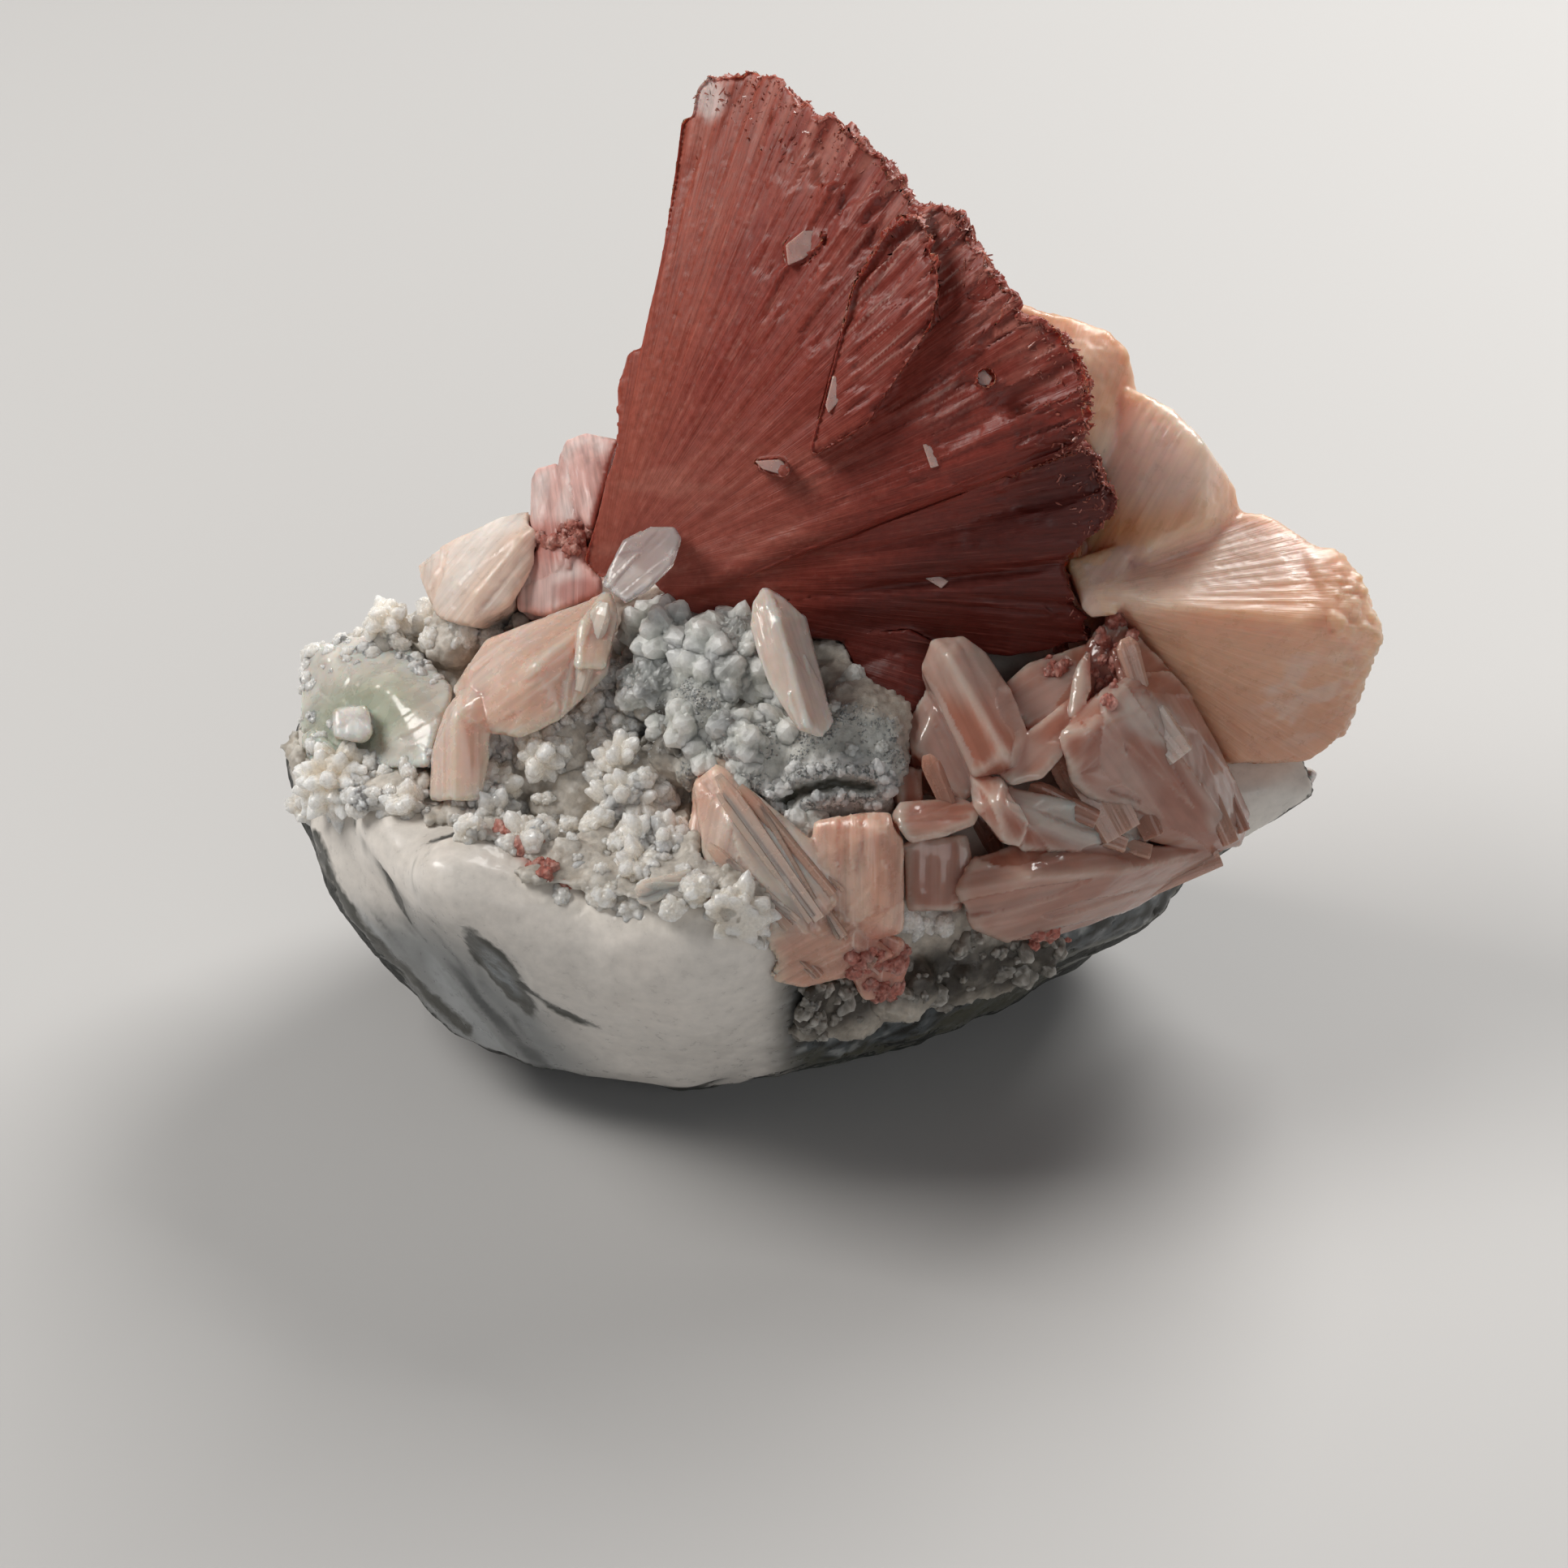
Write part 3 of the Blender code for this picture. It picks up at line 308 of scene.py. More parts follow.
def give_colours(mesh, tint, flow):
    """Store each point's colour and its place along the crystal's grain."""
    count = len(mesh.vertices)
    colours = mesh.attributes.new("tint", "FLOAT_COLOR", "POINT")
    colours.data.foreach_set("color", np.column_stack([np.clip(tint, 0, 1), np.ones(count)]).ravel())
    places = mesh.attributes.new("flow", "FLOAT_VECTOR", "POINT")
    places.data.foreach_set("vector", np.asarray(flow, dtype=float).ravel())


def blend(base, colour, mask):
    """Colours from the base towards a colour, or towards an array of them."""
    mask = np.asarray(mask)[:, None]
    return np.asarray(base) * (1 - mask) + np.asarray(colour) * mask


class Tint:
    """Colours of points whose drawn places are known, from one base or one each."""

    def __init__(self, base, right, down):
        self.right, self.down = right, down
        self.values = np.asarray(base) + np.zeros((len(right), 1))

    def mix(self, colour, mask):
        self.values = blend(self.values, colour, mask)

    def colour_ellipses(self, rows):
        """Drawn ellipses of colour, used for stains and for painted light: colour, place, size, turn,
        softness, strength.
        """
        for colour, place, size, turn, soft, strength in rows:
            self.mix(colour, spot(self.right, self.down, place, size, turn, soft) * strength)


# Shader nodes

class Graph:
    """The nodes of a new material; each call makes one and links its inputs."""

    def __init__(self, name):
        self.material = bpy.data.materials.new(name)
        self.material.use_nodes = True
        self.tree = self.material.node_tree
        self.shader = self.tree.nodes["Principled BSDF"]

    def put(self, node, key, value):
        """Link a socket to an input, or set the input to a value."""
        if isinstance(value, bpy.types.NodeSocket):
            self.tree.links.new(value, node.inputs[key])
        else:
            node.inputs[key].default_value = value

    def add(self, kind, output, inputs=(), **settings):
        node = self.tree.nodes.new("ShaderNode" + kind)
        for key, value in settings.items():
            setattr(node, key, value)
        for key, value in inputs:
            self.put(node, key, value)
        return node.outputs[output]

    def noise(self, place, scale, detail, rough=0.5):
        return self.add("TexNoise", "Fac", [("Vector", place), ("Scale", scale), ("Detail", detail),
                                            ("Roughness", rough)])

    def attribute(self, name, output):
        return self.add("Attribute", output, attribute_name=name)

    def place(self):
        return self.add("TexCoord", "Object")

    def scaled_sum(self, value, factor, more):
        return self.add("Math", 0, [(0, value), (1, factor), (2, more)], operation="MULTIPLY_ADD")

    def mix(self, share, first, second, kind="MIX"):
        return self.add("Mix", 2, [("Factor", share), (6, first), (7, second)], data_type="RGBA",
                        blend_type=kind)

    def ramp(self, factor, stops):
        """A ramp of greys, given as place and brightness."""
        node = self.tree.nodes.new("ShaderNodeValToRGB")
        self.put(node, "Fac", factor)
        elements = node.color_ramp.elements
        while len(elements) < len(stops):
            elements.new(1.0)
        for element, (place, grey) in zip(elements, stops):
            element.position = place
            element.color = (grey, grey, grey, 1)
        return node.outputs["Color"]


BUMP_HEIGHT = 0.2 * MM


def mineral(name, streak=(30.0, 2.0, 6.0), streak_contrast=0.25, speck=600.0, speck_contrast=0.06,
            roughness=(0.3, 0.5), bump=0.3, grit=0.12, subsurface=0.25, radius=(1.0, 0.5, 0.35), depth=2.0,
            transmission=0.0, ior=1.5, specular=0.5, coat=0.0, pale=(0.0, (1, 1, 1, 1))):
    """A mineral's material: streaks along the grain, fine specks and bumps."""
    graph = Graph(name)
    along_grain = graph.add("VectorMath", 0, [(0, graph.attribute("flow", "Vector")), (1, streak)],
                            operation="MULTIPLY")
    streaks = graph.noise(along_grain, 1.0, 2.0, 0.55)
    specks = graph.noise(graph.place(), speck, 4.0, 0.6)
    streak_shade = graph.ramp(streaks, [(0.32, 1 - streak_contrast * 1.6),
                                        (0.5, 1 - streak_contrast * 0.5), (0.68, 1.0)])
    speck_shade = graph.ramp(specks, [(0.35, 1 - speck_contrast * 1.6), (0.65, 1.0)])
    colour = graph.mix(1.0, graph.attribute("tint", "Color"), streak_shade, "MULTIPLY")
    colour = graph.mix(1.0, colour, speck_shade, "MULTIPLY")
    if pale[0]:
        colour = graph.mix(graph.ramp(streaks, [(0.6, 0.0), (0.78, pale[0])]), colour, pale[1])
    uneven = graph.add("MapRange", "Result", [("Value", specks), ("From Min", 0.35), ("From Max", 0.65),
                                              ("To Min", roughness[0]), ("To Max", roughness[1])])
    relief = graph.add("Bump", "Normal", [("Height", graph.scaled_sum(specks, grit, streaks)),
                                          ("Strength", bump), ("Distance", BUMP_HEIGHT)])
    looks = {"Base Color": colour, "Roughness": uneven, "Normal": relief,
             "Subsurface Weight": subsurface, "Subsurface Radius": radius, "Subsurface Scale": depth * MM,
             "Transmission Weight": transmission, "IOR": ior, "Specular IOR Level": specular,
             "Coat Weight": coat}
    for key, value in looks.items():
        graph.put(graph.shader, key, value)
    return graph


# Small crystals and grains, as joined meshes

def grain_shape(kind):
    """Points and triangles of one grain of unit size, standing on z = 0."""
    turns = [math.radians(60 * k) for k in range(6)]
    if kind == "point":
        ring = [(math.cos(a), math.sin(a), -0.3) for a in turns]
        points = ring + [(0, 0, 1.0)]
        faces = [(k, (k + 1) % 6, 6) for k in range(6)]
    else:
        outline = [(-1, -0.12), (-0.6, -0.3), (0.5, -0.32), (1.0, 0.05), (0.7, 0.32), (-0.7, 0.3)]
        low = [(x, y, -0.25) for x, y in outline]
        high = [(x, y, 0.22) for x, y in outline]
        points = low + high
        faces = [(0, 2, 1), (0, 3, 2), (0, 4, 3), (0, 5, 4),
                 (6, 7, 8), (6, 8, 9), (6, 9, 10), (6, 10, 11)]
        for k in range(6):
            after = (k + 1) % 6
            faces += [(k, after, 6 + after), (k, 6 + after, 6 + k)]
    return np.array(points, dtype=float), np.array(faces, dtype=np.int64)


def frames_from(normals, generator, tilt):
    """Turned axes for each grain: its up axis near the surface normal."""
    count = len(normals)
    ups = normals + generator.normal(0, tilt, (count, 3))
    ups /= np.linalg.norm(ups, axis=1)[:, None]
    side = generator.normal(0, 1, (count, 3))
    side -= (side * ups).sum(axis=1)[:, None] * ups
    side /= np.linalg.norm(side, axis=1)[:, None]
    return np.stack([side, np.cross(ups, side), ups], axis=2)


def chosen_triangles(form, weight, number, generator):
    """Triangles drawn by size and weight: their corners and the way they face."""
    corners = form.triangles()
    places = form.points[corners]
    areas = np.linalg.norm(np.cross(places[:, 1] - places[:, 0], places[:, 2] - places[:, 0]), axis=1)
    chance = areas * weight[corners].mean(axis=1)
    chosen = generator.choice(len(corners), size=number, p=chance / chance.sum())
    facing = form.normals()[corners[chosen]].mean(axis=1)
    facing /= np.linalg.norm(facing, axis=1)[:, None] + 1e-9
    return places[chosen], facing


def grains(name, form, weight, number, sizes, kind, tint_of, paint, seed, tilt=0.5,
           squash=(1.0, 1.0, 1.0), sink=0.1):
    """Many small crystals over a form, joined in one mesh.

    `weight` says how likely each of the form's points is to carry one.
    """
    generator = np.random.default_rng(seed)
    number = int(number / COARSER)
    places, facing = chosen_triangles(form, weight, number, generator)
    shares = generator.dirichlet((1, 1, 1), number)
    spots = (places * shares[:, :, None]).sum(axis=1)
    turned = frames_from(facing, generator, tilt)
    scale = sizes[0] + (sizes[1] - sizes[0]) * generator.random(number) ** 2
    stretch = 1 + generator.uniform(-0.3, 0.3, (number, 3))
    shape, faces = grain_shape(kind)
    local = shape[None] * np.array(squash) * stretch[:, None] * scale[:, None, None]
    placed = np.einsum("nij,nkj->nki", turned, local) + (spots - facing * sink * scale[:, None])[:, None]
    return joined(name, inside_box(placed), faces, tint_of(spots, generator), paint)


def joined(name, placed, faces, tint, paint, flow=None):
    """One object from many equal shapes: their points, faces and colours."""
    number, size = placed.shape[:2]
    all_faces = (faces[None] + (np.arange(number) * size)[:, None, None]).reshape(-1, 3)
    mesh = bpy.data.meshes.new(name)
    mesh.vertices.add(number * size)
    mesh.vertices.foreach_set("co", (placed * MM).ravel())
    mesh.loops.add(len(all_faces) * 3)
    mesh.loops.foreach_set("vertex_index", all_faces.ravel())
    mesh.polygons.add(len(all_faces))
    mesh.polygons.foreach_set("loop_start", np.arange(len(all_faces)) * 3)
    mesh.update(calc_edges=True)
    mesh.shade_flat()
    if len(tint) == number:
        tint = np.repeat(tint, size, axis=0)
    give_colours(mesh, tint, placed.reshape(-1, 3) if flow is None else flow)
    mesh.materials.append(paint.material)
    piece = bpy.data.objects.new(name, mesh)
    bpy.context.scene.collection.objects.link(piece)
    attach(piece, "root")
    return piece


TRIES_PER_SPOT = 8


def scattered(form, weight, number, sizes, spacing, generator):
    """Spots on a form by weight, the way they face, and their sizes."""
    tries = number * TRIES_PER_SPOT
    places, facing = chosen_triangles(form, weight, tries, generator)
    spots = places.mean(axis=1)
    scale = sizes[0] + (sizes[1] - sizes[0]) * generator.random(tries) ** 1.5
    kept = []
    for one in range(tries):
        gaps = np.linalg.norm(spots[kept] - spots[one], axis=1)
        if (gaps > spacing * (scale[kept] + scale[one])).all():
            kept.append(one)
        if len(kept) == number:
            break
    return spots[kept], facing[kept], scale[kept]


def ball(rounds):
    """Points and triangles of a round shape of radius 1."""
    bm = bmesh.new()
    bmesh.ops.create_icosphere(bm, subdivisions=rounds, radius=1.0)
    points = np.array([list(corner.co) for corner in bm.verts])
    faces = np.array([[corner.index for corner in face.verts] for face in bm.faces])
    bm.free()
    return points, faces


def knobs(name, form, weight, number, sizes, paint, slot, seed, low, high, bright, grain=0.45,
          rough=0.3, lobes=0.35, lobe_rate=0.95, spacing=0.55, sink=0.1, rounds=4):
    """Rounded knobs built of fine grains over a form, joined in one mesh."""
    generator = np.random.default_rng(seed)
    spots, facing, scale = scattered(form, weight, number, sizes, spacing, generator)
    shape, faces = ball(rounds)
    turned = frames_from(facing, generator, 0.3)
    stretch = 1 + generator.uniform(-0.25, 0.3, (len(spots), 3))
    local = shape[None] * stretch[:, None] * scale[:, None, None]
    ways = np.einsum("nij,nkj->nki", turned, local)
    placed = (ways + (spots - facing * (sink * scale)[:, None])[:, None]).reshape(-1, 3)
    out = ways.reshape(-1, 3)
    out = out / np.linalg.norm(out, axis=1)[:, None]
    reach = np.repeat(scale, len(shape))
    lobe, _, _ = cell_noise(placed * lobe_rate, seed + 1)
    first, _, own = cell_noise(placed / grain, seed + 2)
    raised = lobes * reach * (0.55 - lobe) * 1.6 + rough * (0.5 - first + 0.4 * (own - 0.5))
    placed = placed + out * raised[:, None]
    height = (ways * facing[:, None]).sum(axis=2).ravel() / reach
    # Painted shade towards each knob's foot, from the low to the high colour
    tint = blend(low, high, fade(height, -0.5, 0.6))
    # Painted highlight of the bright colour on the most raised grains
    tint = blend(tint, bright, fade(raised, 0.0, 0.35 * np.mean(scale)) * 0.7)
    tint *= np.repeat(1 + generator.uniform(-0.07, 0.05, len(spots)), len(shape))[:, None]
    placed = inside_box(placed).reshape(len(spots), -1, 3)
    return joined(name, placed, faces, tint, paint)


def search_tree(forms):
    """One search tree over the surfaces of several forms."""
    points, faces, start = [], [], 0
    for form in forms:
        points.append(form.points)
        faces.append(form.triangles() + start)
        start += len(form.points)
    return BVHTree.FromPolygons(np.concatenate(points).tolist(), np.concatenate(faces).tolist())


def forward_of(tree, right, down):
    """How far forward the surface stands at a drawn point."""
    way = seen(right, down, 0.0) - EYE
    way /= np.linalg.norm(way)
    place = tree.ray_cast(Vector(EYE), Vector(way))[0]
    return None if place is None else DISTANCE - (np.array(place) - EYE) @ ALONG


def blades(name, tree, wanted, paint, seed, sink=1.0, flare=0.15):
    """Flattened striated crystals that stand on the surface where drawn.

    Each has the drawn places of its foot and tip, its width in drawing
    steps, how far its tip stands forward in mm, and its colour.
    """
    generator = np.random.default_rng(seed)
    turns = np.linspace(0, 2 * math.pi, 18, endpoint=False)
    outline = np.stack([np.cos(turns), np.clip(1.5 * np.sin(turns), -1, 1) * 0.6], axis=1)
    runs = np.array([0.0, 0.18, 0.36, 0.54, 0.72, 0.86, 0.94, 1.0])
    widths = np.array([0.9, 0.96, 1.0, 1.0 + flare * 0.4, 1.0 + flare, 0.95 + flare, 0.8, 0.5])
    thick = np.array([1.0, 1.0, 1.0, 1.0, 1.0, 0.8, 0.5, 0.1])
    size = len(turns)
    faces = []
    for ring in range(len(runs) - 1):
        for k in range(size):
            here, after = ring * size + k, ring * size + (k + 1) % size
            faces += [(here, after, after + size), (here, after + size, here + size)]
    last = (len(runs) - 1) * size
    faces += [(last, last + k, last + k + 1) for k in range(1, size - 1)]
    faces += [(0, k + 1, k) for k in range(1, size - 1)]
    shapes, tints, flows = [], [], []
    for x0, y0, x1, y1, width, lift, colour in wanted:
        level = forward_of(tree, x0, y0)
        if level is None:
            continue
        foot, tip = seen(x0, y0, level), seen(x1, y1, level + lift)
        axis = tip - foot
        length = np.linalg.norm(axis) + sink
        axis /= np.linalg.norm(axis)
        foot = foot - axis * sink + ALONG * (width * DRAWING_STEP * 0.15)
        side = np.cross(axis, ALONG)
        side /= np.linalg.norm(side)
        roll = generator.uniform(-0.5, 0.5)
        side = side * math.cos(roll) + np.cross(axis, side) * math.sin(roll)
        front = np.cross(axis, side)
        half = width * DRAWING_STEP / 2
        striae = 1 + 0.05 * generator.normal(0, 1, size)
        lean = generator.uniform(-0.25, 0.25)
        points = []
        for run, wide, deep in zip(runs, widths, thick):
            across = outline * striae[:, None] * half * (wide, deep)
            along = run * length + across[:, 0] * lean * (run > 0.9)
            points.append(foot + side * across[:, :1] + front * across[:, 1:]
                          + axis * np.reshape(along, (-1, 1)))
            flows.append(np.stack([across[:, 0], np.broadcast_to(along, size), across[:, 1]], axis=1))
            shade = 1 + 0.12 * (run - 0.5)
            tints.append(np.tile(np.array(colour) * shade, (size, 1)))
        shapes.append(np.concatenate(points))
    return joined(name, inside_box(np.stack(shapes)), np.array(faces), np.concatenate(tints), paint,
                  flow=np.concatenate(flows))


def speckled_tint(colour, spread):
    """Grain colours round one colour."""
    def tint_of(spots, generator):
        count = len(spots)
        shade = 1 + generator.uniform(-spread, spread, (count, 1))
        return np.clip(np.array(colour) * shade, 0, 1)
    return tint_of


# Grain directions of the crystals, in the drawing

def along_axes(points, axes):
    """Place across, along and in depth of the nearest drawn axis, in mm."""
    right, down, near = on_drawing(points)
    best = np.full(len(points), FAR)
    flow = np.zeros((len(points), 3))
    owner = np.zeros(len(points), dtype=int)
    for number, (x0, y0, x1, y1) in enumerate(axes):
        length = math.hypot(x1 - x0, y1 - y0)
        way_x, way_y = (x1 - x0) / length, (y1 - y0) / length
        run = (right - x0) * way_x + (down - y0) * way_y
        across = (right - x0) * way_y - (down - y0) * way_x
        past = np.maximum(0, np.maximum(-run, run - length))
        gap = np.hypot(across, past)
        nearer = gap < best
        best = np.where(nearer, gap, best)
        owner = np.where(nearer, number, owner)
        local = np.stack([across * DRAWING_STEP + number * 31.0, run * DRAWING_STEP, near], axis=1)
        flow = np.where(nearer[:, None], local, flow)
    return flow, owner


def grooved(form, flow, depth, across, along=0.12, seed=3):
    """Fine grooves along the grain."""
    scaled = flow * (across, along, across * 0.7)
    form.push(depth * layered_noise(scaled, 3, seed))


def layered_blades(form, flow, step, across=0.8, along=0.03, seed=7):
    """Thin blades side by side, each standing a little higher or lower."""
    _, _, own = cell_noise(flow * (across, along, across), seed)
    form.push(step * (own - 0.5))


# The red fan

FAN_ROOT = (738, 722)
FAN_RIB_SHARE = 0.35
FAN_FLATTENING = 0.8
FAN_TERRACES = [(440, 0.22), (520, 0.26), (590, 0.3)]
FAN_FOLD = [(990, 745), (1090, 690), (1200, 625), (1330, 540)]


def flatten_front(form, right, down, near, front, share):
    """Keep only a share of how far a face stands off its own gentle curve."""
    x, y = (right - 1000) / 300, (down - 450) / 300
    terms = np.stack([np.ones_like(x), x, y, x * y, x * x, y * y, x * x * x, y * y * y], axis=1)
    used = front > 0.9
    weights = np.linalg.lstsq(terms[used], near[used], rcond=None)[0]
    gap = (near - terms @ weights) * front * (1 - share)
    gap = np.clip(gap, -FAN_FLATTENING, FAN_FLATTENING)
    form.points = form.points + ALONG * gap[:, None]


def fan_relief(form, turn, reach, front, polar):
    """Silky ribs, thin blades and broken terraces on the fan."""
    near = polar[:, 2]
    level = turn * 0
    silk = layered_noise(polar * (2.2, 0.12, 0.25), 3, 11)
    broad = smooth_noise(polar * (0.5, 0.02, 0.05), 12)
    blade_ends = reach / 210.0 + 3 * smooth_noise(polar * (0.2, 0.0, 0.0), 15)
    _, _, own = cell_noise(np.stack([turn * 26.0, blade_ends, near * 0.02], axis=1), 21)
    settled = fade(reach, 60, 330)
    form.push((0.07 * silk + 0.05 * broad) * (0.3 + 0.7 * settled) + 0.16 * (own - 0.5) * front * settled)
    terrace = np.zeros(len(form.points))
    for number, (start, rise) in enumerate(FAN_TERRACES):
        steps = cell_noise(np.stack([turn * 15, level + number * 7.3, level], axis=1), 17)[2]
        ragged = smooth_noise(np.stack([turn * 55, level, level + number * 3.1], axis=1), 18)
        ends = start + 110 * (steps - 0.5) + 26 * ragged
        terrace += rise * fade(reach, ends + 5, ends - 5)
    stepped = front * fade(turn, 0.05, 0.2) * fade(turn, 1.22, 1.05)
    form.push((terrace - sum(rise for _, rise in FAN_TERRACES)) * stepped)
    return silk


def fan_edge_teeth(form, right, down, near, turn, reach):
    """Push the broken outer edge in and out."""
    jagged = layered_noise(np.stack([turn * 46.0, near * 0.55, reach * 0.004], axis=1), 2, 31)
    teeth = cell_noise(np.stack([turn * 40.0, near * 0.5, turn * 0], axis=1), 33)[2]
    away = np.stack([right - FAN_ROOT[0], FAN_ROOT[1] - down], axis=1)
    away /= np.linalg.norm(away, axis=1)[:, None] + 1e-6
    outward = RIGHT * away[:, :1] + UP * away[:, 1:]
    amount = fade(reach, 430, 640) * (0.55 * jagged + 0.9 * (teeth - 0.6))
    form.points = form.points + outward * amount[:, None]


def fan_tint(right, down, near, reach, polar, silk):
    """Red: lighter at the left, darker towards the right and maroon below the fold, partly the crystals' own
    tone and partly painted light and shade; pale where it is chipped.
    """
    fold_gap, fold_side = from_line(right, down, FAN_FOLD)
    below = fade(fold_gap * np.where(fold_side < 0, 1, -1), -25, 45)
    tint = Tint((0.30, 0.046, 0.030), right, down)
    tint.mix((0.42, 0.092, 0.060), fade(layered_noise(polar * (0.35, 0.12, 0.1), 3, 41), -0.1, 0.5) * 0.5)
    # Lighter at the left: partly the crystals' own tone, partly painted light from the left
    tint.mix((0.46, 0.105, 0.062), fade(right - 0.36 * (640 - down), 800, 745) * 0.5)
    dashes = layered_noise(polar * (1.6, 0.35, 0.5), 3, 47)
    tint.mix((0.58, 0.22, 0.165), fade(dashes, 0.25, 0.55) * 0.3)
    tint.mix((0.22, 0.036, 0.026), fade(dashes, -0.25, -0.5) * 0.35)
    # Darker towards the right and below the fold: partly the crystals' darker red, partly painted shade
    # where the face turns away from the light
    tint.mix((0.29, 0.052, 0.038), fade(right, 880, 1200) * 0.6)
    tint.mix((0.13, 0.020, 0.014), below * 0.85)
    chips = fade(smooth_noise(polar * (1.2, 0.3, 0.3), 45), -0.2, 0.6)
    tint.mix((0.58, 0.22, 0.17), fade(reach, 520, 620) * fade(down, 560, 420) * chips * 0.6)
    bands = layered_noise(np.stack([right * 0.012, down * 0.05, near * 0.1], axis=1), 3, 48)
    tint.mix((0.52, 0.19, 0.14), spot(right, down, (850, 640), (170, 110), turn=-20, soft=1.3)
             * (0.25 + 0.35 * fade(bands, 0.0, 0.5)))
    tint.mix((0.12, 0.022, 0.018), spot(right, down, (1310, 590), (55, 60), soft=1.0) * 0.6)
    crumb = spot(right, down, (1130, 380), (100, 130), turn=-30, soft=0.9) * fade(silk, 0.1, 0.5)
    tint.mix((0.72, 0.46, 0.40), crumb * 0.5)
    tint.mix((0.85, 0.70, 0.66), spot(right, down, (872, 112), (22, 26), soft=0.8) * 0.8)
    return tint.values


def build_fan():
    form = Form("red_fan_crystal", "red_fan", 0.272, rounds=2)
    right, down, near = on_drawing(form.points)
    turn = np.arctan2(FAN_ROOT[1] - down, right - FAN_ROOT[0])
    reach = np.hypot(right - FAN_ROOT[0], down - FAN_ROOT[1])
    front = fade(-(form.normals() @ ALONG), 0.1, 0.5)
    flatten_front(form, right, down, near, front, FAN_RIB_SHARE)
    near = on_drawing(form.points)[2]
    polar = np.stack([turn * 60.0, reach * DRAWING_STEP, near], axis=1)
    silk = fan_relief(form, turn, reach, front, polar)
    fan_edge_teeth(form, right, down, near, turn, reach)
    paint = mineral("red_stilbite", streak=(3.2, 0.16, 0.4), streak_contrast=0.16, speck=1600.0,
                    speck_contrast=0.12, roughness=(0.34, 0.5), bump=0.25, subsurface=0.3,
                    radius=(1.0, 0.3, 0.2), depth=1.5, specular=0.3, pale=(0.2, (0.62, 0.26, 0.20, 1)))
    form.finish(fan_tint(right, down, near, reach, polar, silk), polar, paint)
    return form, fade(reach, 560, 640) * fade(turn, 1.5, 1.2)


# The other crystal groups

PEACH_AXES = [(1290, 560, 1350, 390), (1360, 690, 1470, 500), (1320, 720, 1690, 770),
              (1330, 745, 1375, 680)]


PEACH_ROOT = (1290, 735)
# Painted light on the peach sheaves: a painted glow at the bottom of the middle sheaf, which lies in the
# fan's shade, and a painted brightening of its top; the last row is a lighter patch low on the right
PEACH_PAINTED_LIGHT_AND_PATCH = [((0.98, 0.50, 0.24), (1400, 650), (120, 62), -10, 1.0, 0.9),
                ((0.98, 0.80, 0.68), (1430, 565), (75, 65), -20, 1.0, 0.9),
                ((0.86, 0.64, 0.54), (1500, 690), (180, 50), -12, 0.8, 0.75)]


def build_peach():
    form = Form("peach_stilbite_sheaves", "peach_sheaves", 0.26, rounds=5)
    right, down, near = on_drawing(form.points)
    turn = np.arctan2(PEACH_ROOT[1] - down, right - PEACH_ROOT[0])
    reach = np.hypot(right - PEACH_ROOT[0], down - PEACH_ROOT[1])
    radial = np.stack([turn * 60.0, reach * DRAWING_STEP, near], axis=1)
    flow, owner = along_axes(form.points, PEACH_AXES)
    upper, second, large, low_one = (owner == number for number in range(len(PEACH_AXES)))
    flow = np.where(large[:, None], radial, flow)
    uneven = layered_noise(form.points * 0.16, 2, 51)
    rough_end, _, _ = cell_noise(form.points * 0.9, 52)
    form.push(0.25 * uneven + 0.55 * (0.5 - rough_end) * fade(right, 1610, 1680) * large)
    layered_blades(form, flow, 0.10, 0.8, 0.03, 58)
    grooved(form, flow, 0.05, 2.0)
    form.push(0.07 * fade(down, 790, 740) * large * layered_noise(flow * (2.6, 0.05, 0.3), 2, 57))
    crumbs = layered_noise(form.points * 1.1, 3, 59)
    form.push(0.12 * crumbs * (upper + 0.7 * second * fade(down, 640, 560)))
    tint = Tint((0.82, 0.47, 0.31), right, down)
    tint.mix((0.84, 0.56, 0.41), fade(layered_noise(form.points * 0.2, 3, 55), -0.1, 0.5) * 0.6)
    tint.colour_ellipses(PEACH_PAINTED_LIGHT_AND_PATCH)
    tint.mix((0.86, 0.64, 0.48), fade(right, 1625, 1690) * 0.6)
    # A painted brightening of the middle sheaf's top
    tint.colour_ellipses([((0.86, 0.68, 0.58), (1470, 560), (40, 90), -20, 1.0, 0.6)])
    tint.mix((0.58, 0.27, 0.17), fade(down, 800, 900) * 0.5)
    frost = fade(layered_noise(form.points * 0.5, 3, 60), -0.1, 0.3)
    tint.mix((0.78, 0.58, 0.49), spot(right, down, (1605, 860), (60, 55), soft=1.0) * frost * 0.6)
    tint.mix((0.80, 0.54, 0.46), low_one * 0.7)
    paint = mineral("peach_stilbite", streak=(1.8, 0.08, 0.25), streak_contrast=0.06, speck=600.0,
                    speck_contrast=0.05, roughness=(0.24, 0.46), bump=0.3, subsurface=0.8,
                    radius=(1.0, 0.55, 0.35), depth=4.5, pale=(0.15, (0.95, 0.86, 0.80, 1)))
    form.finish(tint.values, flow, paint)
    return form


PINK_AXES = [(1165, 800, 1240, 950), (1130, 870, 1190, 980), (1215, 960, 1250, 1035),
             (1240, 955, 1335, 868), (1255, 870, 1345, 815), (1335, 810, 1322, 880),
             (1350, 840, 1390, 775), (1385, 830, 1430, 795), (1370, 850, 1500, 1030),
             (1200, 1110, 1470, 1060), (1250, 990, 1380, 1030), (1115, 1012, 1195, 1000),
             (1120, 950, 1124, 995), (1150, 1045, 1150, 1110)]


